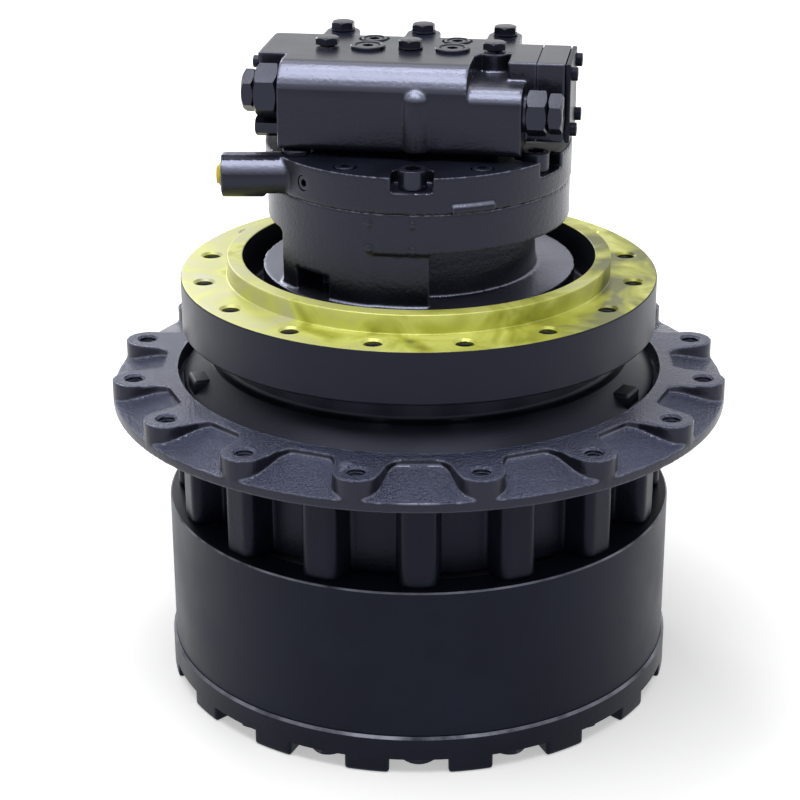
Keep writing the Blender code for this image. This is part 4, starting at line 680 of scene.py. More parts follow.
@dataclass(frozen=True)
class BareMetal:
    """Bare or plated metal: ground, hobbed or cast, told apart by its tint, its grain and its polish."""

    name: str
    tint: str
    worn: str
    grain: float
    polish: Point

    def material(self) -> bpy.types.Material:
        """Build the metal.

        Returns:
            The material.
        """
        made, tree, shader, place = new_material(self.name)
        sockets = {"Vector": place, "Scale": per_metre(30), "Detail": 4.0}
        cloud = add_node(tree, "TexNoise", sockets).outputs["Fac"]
        sockets = {"Vector": place, "Scale": per_metre(self.grain), "Detail": 2.0}
        grain = add_node(tree, "TexNoise", sockets).outputs["Fac"]
        stops = {0.3: self.worn, 0.7: self.tint}
        colour = add_node(tree, "ValToRGB", {"Fac": cloud}, stops).outputs["Color"]
        surfaced(shader, colour, cloud, self.polish, [(grain, 0.3, 0.04)])
        shader.inputs["Metallic"].default_value = 1.0
        return made


@dataclass(frozen=True)
class MouldedPlastic:
    """Injection-moulded polyethylene: waxy, with a faint mould grain."""

    name: str
    colour: str
    shade: str
    gloss: Point = (0.35, 0.5)

    def material(self) -> bpy.types.Material:
        """Build the plastic.

        Returns:
            The material.
        """
        made, tree, shader, place = new_material(self.name)
        sockets = {"Vector": place, "Scale": per_metre(9), "Detail": 2.0}
        cloud = add_node(tree, "TexNoise", sockets).outputs["Fac"]
        grain = add_node(tree, "TexNoise", {"Vector": place, "Scale": per_metre(0.8)}).outputs["Fac"]
        stops = {0.3: self.shade, 0.7: self.colour}
        colour = add_node(tree, "ValToRGB", {"Fac": cloud}, stops).outputs["Color"]
        surfaced(shader, colour, cloud, self.gloss, [(grain, 0.2, 0.05)])
        shader.inputs["IOR"].default_value = 1.5
        return made


class Finish(Enum):
    """The drive's finishes."""

    # Sand-cast iron: a soft orange-peel paint, with a painted highlight of paler blue on its edges, and
    # glossy where it looks up.
    CAST = Enamel(
        "navy_enamel_on_sand_cast_iron", "#131419", "#1e1f28", 1.7, 0.25, (0.24, 0.36),
        swell=0.4, edge=0.5, depth=1.42, sheen=2.5,
    )
    # The flange's upper side, cast against coarse sand: deep blue that breaks into sparkles. Its blue is
    # painted bluer than the sides' paint, a painted reflection of the cool light from above, and its edges
    # get a stronger painted highlight. The grains' size and height are set coarse and high enough to show.
    GRITTY = Enamel(
        "bluer_navy_enamel_coarse_sand_painted_reflection", "#101830", "#1a2440", 1.3, 2.6, (0.12, 0.24),
        swell=0.2, edge=0.8, depth=2.05,
    )
    # The valve block's milled top: flat, so it mirrors the room as one pale sheet.
    LEVEL = Enamel(
        "navy_enamel_on_milled_face", "#12151f", "#1b1f2c", 1.2, 0.04, (0.2, 0.3), swell=0.1, depth=1.45
    )
    # Milled castings seen from the side or from above: dark and almost matt. The same darker paint is painted
    # shade on the hub below its flange and on the motor head's top.
    COVER_AND_SHADE = Enamel(
        "navy_enamel_milled_and_painted_shade", "#0e1019", "#171a26", 1.4, 0.2, (0.3, 0.42), swell=0.3, depth=1.27
    )
    # Bolts and plugs: smooth steel under thin paint, with a crisp shine on their flats.
    FITTING = Enamel(
        "navy_enamel_on_steel_fittings", "#12141d", "#1c1f2c", 1.0, 0.06, (0.2, 0.34), depth=1.45
    )
    # The turned band: satin, with level rings. Their spacing is set coarse enough to show.
    BAND = Enamel(
        "navy_enamel_on_turned_steel", "#141722", "#1a1e2b", 1.1, 0.03, (0.34, 0.46), 0.1, lay=1.3, depth=1.25
    )
    # The spindle's rim: rough-turned iron, matt, with wider rings.
    TURNED = Enamel(
        "navy_enamel_on_rough_turned_iron", "#13151d", "#1b1d27", 1.2, 0.05, (0.32, 0.44),
        swell=0.2, lay=2.2, depth=1.33,
    )
    # A thin bright line of bare-steel colour along a turned edge: a painted highlight for the glint on it.
    PAINTED_GLINT_EDGE = BareMetal("bare_steel_painted_glint_on_edge", "#777a84", "#2c2e36", 0.9, (0.28, 0.42))
    # The mount ring's plating: straw, olive and almost silver patches; the pale ones gather toward the left
    # as a painted highlight, the olive toward the right as painted shade.
    CHROMATE = Chromate(
        "yellow_chromate_on_turned_steel",
        {0.3: "#76783e", 0.4: "#b6b946", 0.5: "#dfe27c", 0.62: "#d2d48a", 0.74: "#cfceb0"},
        1.6,
    )
    # The inner pieces: bright ground steel, darker hardened gears, warm bronze and dull grey zinc.
    GROUND = BareMetal("ground_bearing_steel", "#c3c5c9", "#8f9196", 0.6, (0.14, 0.3))
    GEAR = BareMetal("carburised_gear_steel", "#77787c", "#4c4d50", 1.2, (0.3, 0.45))
    BRONZE = BareMetal("cast_bronze", "#b98a45", "#8c6630", 1.0, (0.25, 0.4))
    ZINC = BareMetal("zinc_plated_steel", "#bfc1bd", "#84867f", 0.7, (0.22, 0.4))
    # The shipping plug: plain yellow with a waxy shine.
    PLASTIC = MouldedPlastic("moulded_yellow_polyethylene", "#e8d531", "#c9b41c")


class Slot(Enum):
    """The record's material slots, named for new pieces but not given to them."""

    CAST = "cast_paint"
    STEEL_PAINT = "steel_paint"
    CHROMATE = "chromate_steel"
    PLASTIC = "plug_plastic"


MATERIALS = {finish: finish.value.material() for finish in Finish}


def hand_over(
    piece: Piece, body: str, finish: Finish, slot: Slot, stands_for: Sequence[str] = (), crisp: bool = True
) -> Piece:
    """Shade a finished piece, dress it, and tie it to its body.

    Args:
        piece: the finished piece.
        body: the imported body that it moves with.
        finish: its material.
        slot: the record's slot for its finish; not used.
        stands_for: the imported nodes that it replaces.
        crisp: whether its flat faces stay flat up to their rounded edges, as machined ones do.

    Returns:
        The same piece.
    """
    with editing(piece):
        bpy.ops.mesh.normals_make_consistent(inside=False)
    piece.data.materials.clear()
    piece.data.materials.append(MATERIALS[finish])
    pick(piece)
    bpy.ops.object.shade_smooth_by_angle(angle=math.radians(CREASE))
    if crisp:
        applied(piece, "WEIGHTED_NORMAL", mode="FACE_AREA", weight=60, keep_sharp=True)
    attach(piece, body)
    if stands_for:
        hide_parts(*stands_for)
    LOG.info("%s: %d faces, moves with %s", piece.name, len(piece.data.polygons), body)
    return piece


def stood(piece: Piece, finish: Finish, slot: Slot, *stands_for: str, crisp: bool = True) -> Piece:
    """Turn a piece from the motor's frame into the drive's and hand it over to the spindle's side."""
    return hand_over(turned(piece, MOTOR_TURN), SPINDLE_SIDE, finish, slot, stands_for, crisp)


def dress(piece: Piece, finish: Finish, chosen: Callable[[bpy.types.MeshPolygon], bool]) -> None:
    """Give another finish to some faces.

    Args:
        piece: the piece, already handed over.
        finish: the faces' material.
        chosen: tells whether a face gets it.
    """
    piece.data.materials.append(MATERIALS[finish])
    index = len(piece.data.materials) - 1
    for face in piece.data.polygons:
        if chosen(face):
            face.material_index = index


def dress_band(piece: Piece, finish: Finish, low: Point, high: Point) -> None:
    """Give another finish to the faces whose middles lie in a band of (radius, height).

    Args:
        piece: the piece, already handed over.
        finish: the faces' material.
        low: the band's least radius and height.
        high: its greatest radius and height.
    """

    def inside(face: bpy.types.MeshPolygon) -> bool:
        """Tell whether a face lies in the band."""
        radius, height = face.center.xy.length / MM, face.center.z / MM
        return low[0] <= radius <= high[0] and low[1] <= height <= high[1]

    dress(piece, finish, inside)


def dress_level(piece: Piece, finish: Finish, low: float, high: float, rise: float) -> None:
    """Give another finish to the faces that look up, between two heights, where a rise of 1 is level."""
    dress(piece, finish, lambda face: face.normal.z > rise and low <= face.center.z / MM <= high)


def dress_holes(piece: Piece, finish: Finish, circle: float, reach: float, low: float) -> None:
    """Give another finish to the walls of tapped holes.

    Args:
        piece: the tapped piece.
        finish: the walls' material.
        circle: the radius of the circle that the holes stand on.
        reach: how far the walls reach from each hole's axis.
        low: the height that the finish starts from.
    """
    middles = [Vector(at_bearing(circle, PITCH * (hole + 0.5))) for hole in range(SECTORS)]

    def inside(face: bpy.types.MeshPolygon) -> bool:
        """Tell whether a face is part of a hole's wall."""
        spot = face.center / MM
        return spot.z > low and any((spot.xy - middle).length < reach for middle in middles)

    dress(piece, finish, inside)


def tapped(radius: float, countersink: float, circle: float, high: float, depth: float) -> Piece:
    """Make the cutter of a ring of tapped holes.

    Args:
        radius: the thread's inner radius.
        countersink: the radius of each hole's mouth.
        circle: the radius of the circle that the holes stand on.
        high: the height of the face that they are tapped in.
        depth: how deep they go.

    Returns:
        The cutter.
    """
    pitch, crest, turns, steps, above = 2.5, 1.0, 7, 24, 2
    mouth, throat = (countersink + above, high + above), (radius, high - countersink + radius)
    profile = [(0.0, high + above), mouth, throat]
    level = profile[-1][1] - pitch / 2
    for _ in range(turns):
        profile += [(radius + crest, level - pitch / 2), (radius, level - pitch)]
        level -= pitch
    profile += [(radius, high - depth), (0.0, high - depth)]
    return ringed(moved(lathe("holes", profile, steps), (0, -circle, 0)), PITCH / 2)


def hexagon(
    name: str, start: Place, end: Place, flats: float, chamfer: tuple[bool, bool] = (False, True)
) -> Piece:
    """Make a hexagon between two points, with its corners turned off.

    Args:
        name: the new piece's name.
        start: the middle of one end.
        end: the middle of the other end.
        flats: its width across flats.
        chamfer: whether the corners are turned off at the start and at the end.

    Returns:
        The hexagon.
    """
    piece = rod(name, start, end, flats / math.sqrt(3), 6)
    axis = Vector(end) - Vector(start)
    length, fall = axis.length, flats * 0.075
    outer, inner = flats / math.sqrt(3) + 0.5, flats * 0.47
    profile = [(0.0, 0.0), (inner if chamfer[0] else outer, 0.0)]
    profile += [(outer, fall)] if chamfer[0] else []
    profile += [(outer, length - fall)] if chamfer[1] else []
    profile += [(inner if chamfer[1] else outer, length), (0.0, length)]
    crown = lathe("crown", profile, SMALL)
    turn = axis.to_track_quat("Z", "Y").to_matrix().to_4x4()
    crown.data.transform(Matrix.Translation(Vector(start) * MM) @ turn)
    return shaped(piece, How.KEEP, crown)


def socketed(screw: Piece, start: Place, end: Place, flats: float) -> Piece:
    """Cut a hexagon socket from its floor to beyond the screw's face."""
    return shaped(screw, How.CUT, hexagon("socket", start, end, flats, (False, False)))


@dataclass(frozen=True)
class EndCover:
    """The castellated cover at the foot, with its bolts in the notches."""

    radius: float = 260
    height: float = 40
    rim: float = 2.5
    tooth: float = 16
    notch: float = 57
    notch_end: float = 229
    notch_corner: float = 5
    tooth_round: float = 3.5
    seat: float = 16.3
    dish: float = 200
    dish_depth: float = 9
    inner_radius: float = 186
    inner_floor: float = 34
    register: float = 205.9
    register_top: float = 47.7
    pad_radius: float = 31
    pad_top: float = 43.2
    bolt_circle: float = 231
    bolt_flats: float = 30
    bolt_head: float = 14
    bolt_washer: float = 15.5
    plug_circle: float = 150
    plug_hole: float = 13.4
    plug_bearings: tuple[float, ...] = (0, 90, 270)
    edge: float = 1.8

    def outline(self) -> list[Point]:
        """Return the plan of the toothed foot: round tooth ends, straight notches.

        Returns:
            The plan's points.
        """
        half, end, corner = self.notch / 2, self.notch_end, self.notch_corner
        side = math.degrees(math.asin(half / self.radius))
        corners = [(self.radius, -half), (end, -half, corner), (end, half, corner), (self.radius, half)]
        notch = softened(corners, 3)[1:-1]
        points: list[Point] = []
        for index in range(SECTORS):
            turn = Matrix.Rotation(math.radians(PITCH * index + FRONT), 2)
            points += [tuple(turn @ Vector(point)) for point in notch]
            start, stop = PITCH * index + FRONT + side, PITCH * (index + 1) + FRONT - side
            points += on_arc((0, 0), self.radius, start, stop)
        return points

    def cover(self) -> Piece:
        """Build the cover: toothed foot, plain rim, dish, register and thrust pad.

        Returns:
            The cover.
        """
        foot = slab("end_cover_casting", self.outline(), 0, self.tooth + 8)
        piece = bevelled(foot, self.tooth_round, 3, 50)
        rim = [
            (0.0, self.tooth),
            (self.radius, self.tooth),
            (self.radius, self.height - self.rim),
            (self.radius - self.rim, self.height),
            (self.register, self.height),
            (self.register, self.register_top),
            (self.inner_radius, self.register_top),
            (self.inner_radius, self.inner_floor),
            (self.pad_radius, self.inner_floor),
            (self.pad_radius, self.pad_top),
            (0.0, self.pad_top),
        ]
        shaped(piece, How.ADD, lathe("rim", rim))
        seat = rod("seats", *upright((0, -self.bolt_circle), -5, self.tooth), self.seat)
        shaped(piece, How.CUT, ringed(seat))
        deep, wide = self.dish_depth, self.dish + self.dish_depth + 1
        shaped(piece, How.CUT, lathe("dish", [(0.0, -1.0), (wide, -1.0), (self.dish, deep), (0.0, deep)]))
        places = [at_bearing(self.plug_circle, bearing) for bearing in self.plug_bearings]
        holes = [rod("hole", *upright(place, -5, 50), self.plug_hole) for place in places]
        shaped(piece, How.CUT, joined("holes", *holes))
        return bevelled(piece, self.edge, 3, 50)

    def bolts(self) -> Piece:
        """Build the 16 flanged bolts that stand in the notches, heads down.

        Returns:
            The bolts as one piece.
        """
        middle, top = (0, -self.bolt_circle), self.tooth
        head = hexagon("cover_bolts", *upright(middle, top - 2, top - self.bolt_head), self.bolt_flats)
        washer = rod("washer", *upright(middle, top - 2.5, top - 0.1), self.bolt_washer)
        return ringed(shaped(head, How.ADD, washer))

    def build(self) -> None:
        """Build and dress the cover and its bolts."""
        cover = hand_over(self.cover(), HUB_SIDE, Finish.COVER_AND_SHADE, Slot.CAST, ["end_cover"])
        # Painted highlight: a thin bare-steel line along the cover's top edge.
        low, high = (self.radius - 3, self.height - 2.6), (self.radius, self.height - 0.1)
        dress_band(cover, Finish.PAINTED_GLINT_EDGE, low, high)
        hand_over(self.bolts(), HUB_SIDE, Finish.FITTING, Slot.CAST)


@dataclass(frozen=True)
class RingGear:
    """The smooth band: turned outside, toothed inside."""

    radius: float = 257
    low: float = 40.3
    high: float = 193.6
    chamfer: float = 1.5
    low_chamfer: float = 0.6
    proud: float = 0.05
    wall: float = 30

    def build(self) -> None:
        """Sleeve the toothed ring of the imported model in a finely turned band."""
        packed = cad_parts["ring_gear"]
        piece = packed.copy()
        piece.data = packed.data.copy()
        piece.name = "ring_gear_band"
        for key in list(piece.keys()):
            del piece[key]
        piece.parent = None
        bpy.context.scene.collection.objects.link(piece)
        with editing(piece):
            bpy.ops.mesh.remove_doubles(threshold=MM / 200)
        inner, middle = self.radius - self.wall, self.radius - self.wall / 2
        outer = self.radius + self.proud
        core = [(0.0, self.low - 5), (middle, self.low - 5), (middle, self.high + 5), (0.0, self.high + 5)]
        shaped(piece, How.KEEP, lathe("toothed core", core))
        profile = [
            (inner, self.low),
            (self.radius - self.low_chamfer, self.low),
            (outer, self.low + self.low_chamfer),
            (outer, self.high - self.chamfer),
            (self.radius - self.chamfer, self.high),
            (inner, self.high),
        ]
        shaped(piece, How.ADD, lathe("band", profile))
        band = hand_over(piece, HUB_SIDE, Finish.BAND, Slot.STEEL_PAINT, ["ring_gear"])
        # Painted highlight: a thin bare-steel line along the band's top edge.
        low, high = (self.radius - 1.4, self.high - 1.45), (self.radius, self.high - 0.05)
        dress_band(band, Finish.PAINTED_GLINT_EDGE, low, high)
        dress_band(band, Finish.GEAR, (0, self.low), (inner - 1, self.high))


@dataclass(frozen=True)
class Hub:
    """The cast hub: columned wall, and the flange with 16 tapped lobes for the sprocket."""

    low: float = 193.9
    wall: float = 219
    skin_inside: float = 209
    column_face: float = 248.5
    column_width: float = 35
    column_corner: float = 9
    flange: float = 309.6
    under: float = 300.1
    edge: float = 310.1
    top: float = 330.1
    opening: float = 244
    inlet: float = 246
    floor: float = 323.6
    valley: float = 258
    seal_seat: float = 198.3
    seal_floor: float = 312.1
    lobe_circle: float = 288
    lobe_end: float = 22
    lobe_root: float = 56
    thread: float = 8.75
    thread_depth: float = 45
    countersink: float = 11
    skin: float = 1.8
    passes: int = 3
    keep: float = 0.3

    def lobes(self) -> list[Point]:
        """Return the plan of the 16 lobes, which flare in hollow curves towards their roots.

        Returns:
            The plan's points.
        """
        half = self.lobe_root / 2
        root = math.sqrt(self.valley**2 - half**2)
        side = [(root, half + 2.5), (root + 4, half), (root + 11, half - 3.5)]
        lobe = [(radius, -across) for radius, across in side]
        lobe += on_arc((self.lobe_circle, 0), self.lobe_end, -84, 84, 12) + side[::-1]
        points: list[Point] = []
        for index in range(SECTORS):
            turn = Matrix.Rotation(math.radians(PITCH * (index + 0.5) + FRONT), 2)
            points += [tuple(turn @ Vector(point)) for point in lobe]
        return points

    def column(self) -> Piece:
        """Build the rough column at the front.

        Returns:
            The column.
        """
        half, face, corner, root = self.column_width / 2, -self.column_face, self.column_corner, 6 - self.wall
        plan = [(-half - 3, root), (-half, face, corner), (half, face, corner), (half + 3, root)]
        return slab("columns", softened(plan, 6), self.low + 0.3, self.under + 2)

    def core(self) -> list[Point]:
        """Return the section of the machined inside: register, bearing seats and seal seat.

        Returns:
            The section's points.
        """
        wall, seat, shoulder = self.wall - 4, 165, 151
        return [
            *((205.9, 185.9), (205.9, self.low), (wall, self.low), (wall, 270), (wall, self.seal_floor)),
            *((self.seal_seat, self.seal_floor), (self.seal_seat, 296.3), (seat, 296.3), (seat, 262.7)),
            *((shoulder, 262.7), (shoulder, 252.7), (seat, 252.7), (seat, 215.6), (198, 209.1), (198, 185.9)),
        ]

    def build(self) -> None:
        """Cast the outside, turn the bores, tap the lobes."""
        inner, lip = self.skin_inside, self.inlet - 3
        profile = [
            *((inner, self.low + 0.3), (self.wall, self.low + 0.3), (self.wall, self.under)),
            *((self.flange, self.under), (self.flange, self.edge), (self.valley, self.floor)),
            *((lip, self.floor), (lip, self.floor - 8), (inner, self.floor - 8)),
        ]
        shells = [
            lathe("hub_casting", profile),
            slab("lobes", self.lobes(), self.under + 5, self.top),
            ringed(self.column()),
        ]
        casting = cast("hub_casting", self.skin, self.passes, self.keep, *shells)
        shaped(casting, How.ADD, lathe("core", self.core()), Solver.SKIN)
        seat, floor = self.seal_seat, self.seal_floor
        opening = [
            *((seat, floor), (self.inlet, floor), (self.inlet, 324)),
            *((self.opening, 324.4), (self.opening, 340), (seat, 340)),
        ]
        holes = (self.thread, self.countersink, self.lobe_circle, self.top, self.thread_depth)
        drilled(casting, lathe("opening", opening), tapped(*holes))
        hub = hand_over(casting, HUB_SIDE, Finish.CAST, Slot.CAST, ["hub"], crisp=False)
        # Below the flange the hub takes the darker paint: painted shade under the flange.
        dress_band(hub, Finish.COVER_AND_SHADE, (0, 190), (312, 299))
        # Up-facing faces of the flange: the bluer paint, a painted reflection of the light from above.
        dress_level(hub, Finish.GRITTY, self.under, self.top + 1, 0.6)
        # Up-facing faces low on the hub go back to the casting's paint.
        dress_level(hub, Finish.CAST, 185, 240, 0.6)
        dress_band(hub, Finish.GROUND, (0, 200), (206, 311))


@dataclass(frozen=True)
class Spindle:
    """The fixed casting: mount ring with its pilot lip, neck, seal collar and journal."""

    lip_outer: float = 191
    lip_inner: float = 175.5
    lip_top: float = 445.1
    mount: float = 237.4
    mount_top: float = 426.1
    mount_under: float = 373.6
    neck: float = 203
    neck_low: float = 345.1
    collar: float = 238
    mount_circle: float = 215
    thread: float = 8.75
    thread_depth: float = 60
    countersink: float = 11
    plated_depth: float = 5
    lug_bearings: Point = (-72, 62)
    lug_low: Place = (205.0, -15.0, 316.0)
    lug_high: Place = (236.0, 15.0, 338.0)

    def profile(self) -> list[Point]:
        """Return the half section, clockwise from the lip: outside first, then journal and bores.

        Returns:
            The section's points.
        """
        corners = [
            *((self.lip_inner, self.lip_top, 1.2), (self.lip_outer, self.lip_top, 1.2)),
            *((self.lip_outer, self.mount_top, 1.5), (self.mount, self.mount_top, 1.6)),
            *((self.mount, self.mount_under, 3), (self.neck, self.mount_under, 7)),
            *((self.neck, self.neck_low, 5), (212, self.neck_low, 3), (self.collar, 322.1, 3)),
            *((self.collar, 314.1, 2), (198.3, 314.1), (198.3, 328.2), (174, 328.2), (174, 296.3)),
            *((142.3, 296.3), (142.3, 293.3), (130, 293.3), (130, 209.1), (85, 209.1), (85, 187.1)),
            *((50, 187.1), (50, 263.1), (114, 263.1), (114, 410.1), (160, 410.1), (160, 400.1, 6)),
            (self.lip_inner, 400.1, 6),
        ]
        return softened(corners)

    def build(self) -> None:
        """Turn, tap and dress the spindle."""
        piece = lathe("spindle_forging", self.profile())
        for bearing in self.lug_bearings:
            lug = bevelled(block("lug", self.lug_low, self.lug_high), 3, 3)
            shaped(piece, How.ADD, turned(lug, bearing + FRONT))
        holes = (self.thread, self.countersink, self.mount_circle, self.mount_top, self.thread_depth)
        shaped(piece, How.CUT, tapped(*holes))
        spindle = hand_over(piece, SPINDLE_SIDE, Finish.TURNED, Slot.CHROMATE, ["spindle"])
        dress_band(spindle, Finish.CHROMATE, (175.6, 425.9), (self.mount - 0.05, 446))
        plated = self.mount_top - self.plated_depth
        dress_holes(spindle, Finish.CHROMATE, self.mount_circle, self.countersink + 0.5, plated)
        dress_band(spindle, Finish.GROUND, (0, 180), (160, 300))


@dataclass(frozen=True)
class MotorCase:
    """The travel motor's housing: flange in the pilot recess, barrel, cast bulge and upper disc."""

    flange: float = 155
    seat: float = 410.4
    flange_top: float = 435.4
    barrel: float = 115
    disc_low: float = 488.4
    disc: float = 148.5
    top: float = 527.4
    bore: float = 103
    bulge_side: float = 120
    bulge_end: float = 12
    bulge_step: float = 2.2
    step_start: float = -8
    bulge_low: float = 425
    pip: float = 2.6
    pip_bearings: Point = (-10, 5.7)
    pip_levels: Point = (492.5, 517)
    pocket: Point = (-134, -117)  # its ends in degrees
    pocket_top: float = 459
    pocket_plug: float = 15
    pocket_bearing: float = -36
    skin: float = 1.7
    passes: int = 3
    keep: float = 0.45

    def pips(self) -> list[Piece]:
        """Build the four small round marks that the mould leaves on the disc.

        Returns:
            The marks.
        """
        return [
            rod("pip", *spoke(bearing, self.disc - 4, self.disc + 1.4, level), self.pip, 16)
            for bearing in self.pip_bearings
            for level in self.pip_levels
        ]

    def bulge(self) -> Piece:
        """Build the rough bulge under the disc, with its pocket.

        Returns:
            The bulge.
        """
        left = math.degrees(math.asin(self.bulge_side / self.disc))
        step, end = FRONT + self.step_start, FRONT + self.bulge_end
        plan = [(-self.bulge_side, 32.0)]
        plan += on_arc((0, 0), self.disc, FRONT - left, step - 2, 16)
        plan += on_arc((0, 0), self.disc - self.bulge_step, step, end, 8)
        plan += on_arc((0, 0), 108, end, -200, 24)
        piece = slab("bulge", plan, self.bulge_low, self.disc_low + 8)
        start, stop = self.pocket
        pocket = on_arc((0, 0), 170, start, stop, 4) + on_arc((0, 0), 116, stop, start, 4)
        return shaped(piece, How.CUT, slab("pocket", pocket, 400, self.pocket_top))

    def build(self) -> None:
        """Cast the housing, bore its cavity and close the pocket's port."""
        seat = self.seat + 0.4
        body = [
            *((self.bore, seat), (self.flange, seat), (self.flange, self.flange_top)),
            *((self.barrel + 2, self.flange_top), (self.barrel, self.flange_top + 30)),
            *((self.barrel, self.disc_low), (self.disc, self.disc_low), (self.disc, self.top)),
            (self.bore, self.top),
        ]
        shells = (lathe("motor_case_casting", body), self.bulge(), *self.pips())
        case = cast("motor_case_casting", self.skin, self.passes, self.keep, *shells)
        # The spigot in the spindle, the cavity's wall and its floor with the shaft's hole.
        core = [
            *((113.7, 281.7), (113.7, self.seat + 0.1), (109.0, self.seat + 0.1), (109.0, self.top)),
            *((98.0, self.top), (98.0, 281.4), (20.5, 281.4), (20.5, 263.4), (113.7, 263.4)),
        ]
        shaped(case, How.ADD, lathe("core", core), Solver.SKIN)
        stood(case, Finish.CAST, Slot.CAST, "motor_case", crisp=False)
        place = spoke(self.pocket_bearing, self.barrel - 1, self.barrel + 8, self.flange_top + 11)
        stood(hexagon("pocket_port_plug", *place, self.pocket_plug), Finish.FITTING, Slot.STEEL_PAINT)


@dataclass(frozen=True)
class MotorHead:
    """The head that carries the valve block: notched disc, drain arm, screws and plugs."""

    radius: float = 150
    low: float = 527.7
    top: float = 561.7
    notch_floor: float = 548.7
    notch_width: float = 40
    notch_start: float = 116
    screws: int = 6
    screw_circle: float = 131
    screw_first: float = 5.6
    screw_head: float = 13.5
    screw_top: float = 567
    screw_shank: float = 9
    screw_low: float = 505
    small_screw: float = 9.5
    small_circle: float = 128
    arm: Point = (-64, 542.2)  # its row and level
    arm_radius: float = 21.5
    arm_tip: float = -187.5
    arm_bore: float = 9.6
    plug_bearing: float = -38.4
    plug_level: float = 544.7
    plug: float = 7.5
    pad: Point = (20, 36)  # its ends in degrees from the front
    pad_top: float = 535
    pad_proud: float = 2.2
    rim: float = 1.7
    skin: float = 1.5
    passes: int = 3
    keep: float = 0.45

    def casting(self) -> Piece:
        """Cast the disc, its notches and its arm, and drill them.

        Returns:
            The casting.
        """
        outer, proud = self.radius - 0.3, self.top + self.rim / 2
        profile = [
            *((0.0, self.low + 0.2), (outer, self.low + 0.2), (outer, proud)),
            *((outer - 2 * self.rim, proud), (outer - 3 * self.rim, self.top), (0.0, self.top)),
        ]
        disc = lathe("motor_head_casting", profile)
        half, start = self.notch_width / 2, -self.notch_start
        notch = softened([(-half, -180), (-half, start, 7), (half, start, 7), (half, -180)])
        notches = slab("notches", notch, self.notch_floor, self.top + 20)
        shaped(disc, How.CUT, ringed(notches, self.screw_first, self.screws - 1, self.screws))
        arm = turned(rod("arm", *along(self.arm_tip, -75, self.arm), self.arm_radius), -MOTOR_TURN)
        first, last = FRONT + self.pad[0], FRONT + self.pad[1]
        pad = on_arc((0, 0), self.radius + self.pad_proud, first, last)
        pad += on_arc((0, 0), self.radius - 8, last, first)
        shells = (disc, arm, slab("pad", pad, self.low + 0.3, self.pad_top))
        piece = cast("motor_head_casting", self.skin, self.passes, self.keep, *shells)
        last_screw = at_bearing(self.screw_circle, self.screw_first - 360 / self.screws)
        seat = upright(at_bearing(self.small_circle, 0), self.top - 4, self.top + 10)
        seats = ringed(rod("seats", *seat, self.small_screw + 1.8), self.screw_first + 30, self.screws)
        shank = rod("shanks", *upright((0, -self.screw_circle), 500, 580), self.screw_shank + 0.3)
        bore = rod("bore", *along(self.arm_tip - 20, self.arm_tip + 30, self.arm), self.arm_bore)
        side = spoke(self.plug_bearing, self.radius - 14, self.radius + 10, self.plug_level)
        return drilled(
            piece,
            rod("counterbore", *upright(last_screw, self.notch_floor, 580), 15),
            seats,
            lathe("room", [(0.0, 500.0), (165.0, 500.0), (165.0, self.low), (0.0, self.low)]),
            turned(bore, -MOTOR_TURN),
            rod("shaft room", *upright((0, 0), 500, 536.2), 20.5),
            ringed(shank, self.screw_first, self.screws),
            rod("side hole", *side, self.plug + 0.3),
        )

    def screw(self, index: int) -> Piece:
        """Build one socket-head screw: plain head, broken rim, hexagon socket.

        Args:
            index: which screw it is, counted round the drive.

        Returns:
            The screw.
        """
        low, top, head, shank = self.notch_floor + 0.3, self.screw_top, self.screw_head, self.screw_shank
        profile = [(0.0, top), (head, top, 1.4), (head, low, 0.5), (shank, low), (shank, self.screw_low)]
        piece = lathe("socket_screw_" + LETTERS[index], softened([*profile, (0.0, self.screw_low)]), SMALL)
        socketed(piece, *upright((0, 0), top - 9, top + 4), 14)
        return moved(piece, (*at_bearing(self.screw_circle, self.screw_first + 60 * index), 0))

    def small_screws(self) -> Piece:
        """Build the six low screws that sit in counterbores between the large ones.

        Returns:
            The screws as one piece.
        """
        low, top, head = self.top - 3.7, self.top + 1.2, self.small_screw
        profile = softened([(0.0, low), (head, low), (head, top, 1.2), (0.0, top)])
        screw = lathe("small_head_screws", profile, SMALL)
        socketed(screw, *upright((0, 0), top - 4, top + 4), 8)
        return ringed(moved(screw, (0, -self.small_circle, 0)), self.screw_first + 30, self.screws)

    def shipping_plug(self) -> Piece:
        """Build the drain arm's plastic plug, with its grip edge, stem and hollow face.

        Returns:
            The plug.
        """
        profile = [
            *((0.0, 5.0), (8.6, 5.0, 1.5), (9.4, 2.6, 0.6), (11.0, 2.2, 0.5)),
            *((11.0, 0.3), (9.0, 0.3), (8.2, -20.0), (0.0, -20.0)),
        ]
        plug = lathe("shipping_cap", softened(profile), SMALL)
        hollow = softened([(0.0, 8.0), (5.5, 8.0), (5.5, 1.5, 1.0), (0.0, 1.5)])
        shaped(plug, How.CUT, lathe("hollow", hollow, SMALL))
        place = Vector((self.arm_tip, *self.arm)) * MM
        plug.data.transform(Matrix.Translation(place) @ Matrix.Rotation(-math.pi / 2, 4, "Y"))
        return plug

    def side_plug(self) -> Piece:
        """Build the socket plug in the head's side.

        Returns:
            The plug.
        """
        level, radius = self.plug_level, self.radius
        ends = spoke(self.plug_bearing, radius - 13.5, radius - 1.3, level)
        body = bevelled(rod("side_socket_plug", *ends, self.plug), 0.8)
        return socketed(body, *spoke(self.plug_bearing, radius - 8, radius + 5, level), 7)

    def build(self) -> None:
        """Build and dress the head and its fittings."""
        head = stood(self.casting(), Finish.CAST, Slot.CAST, "motor_head", crisp=False)
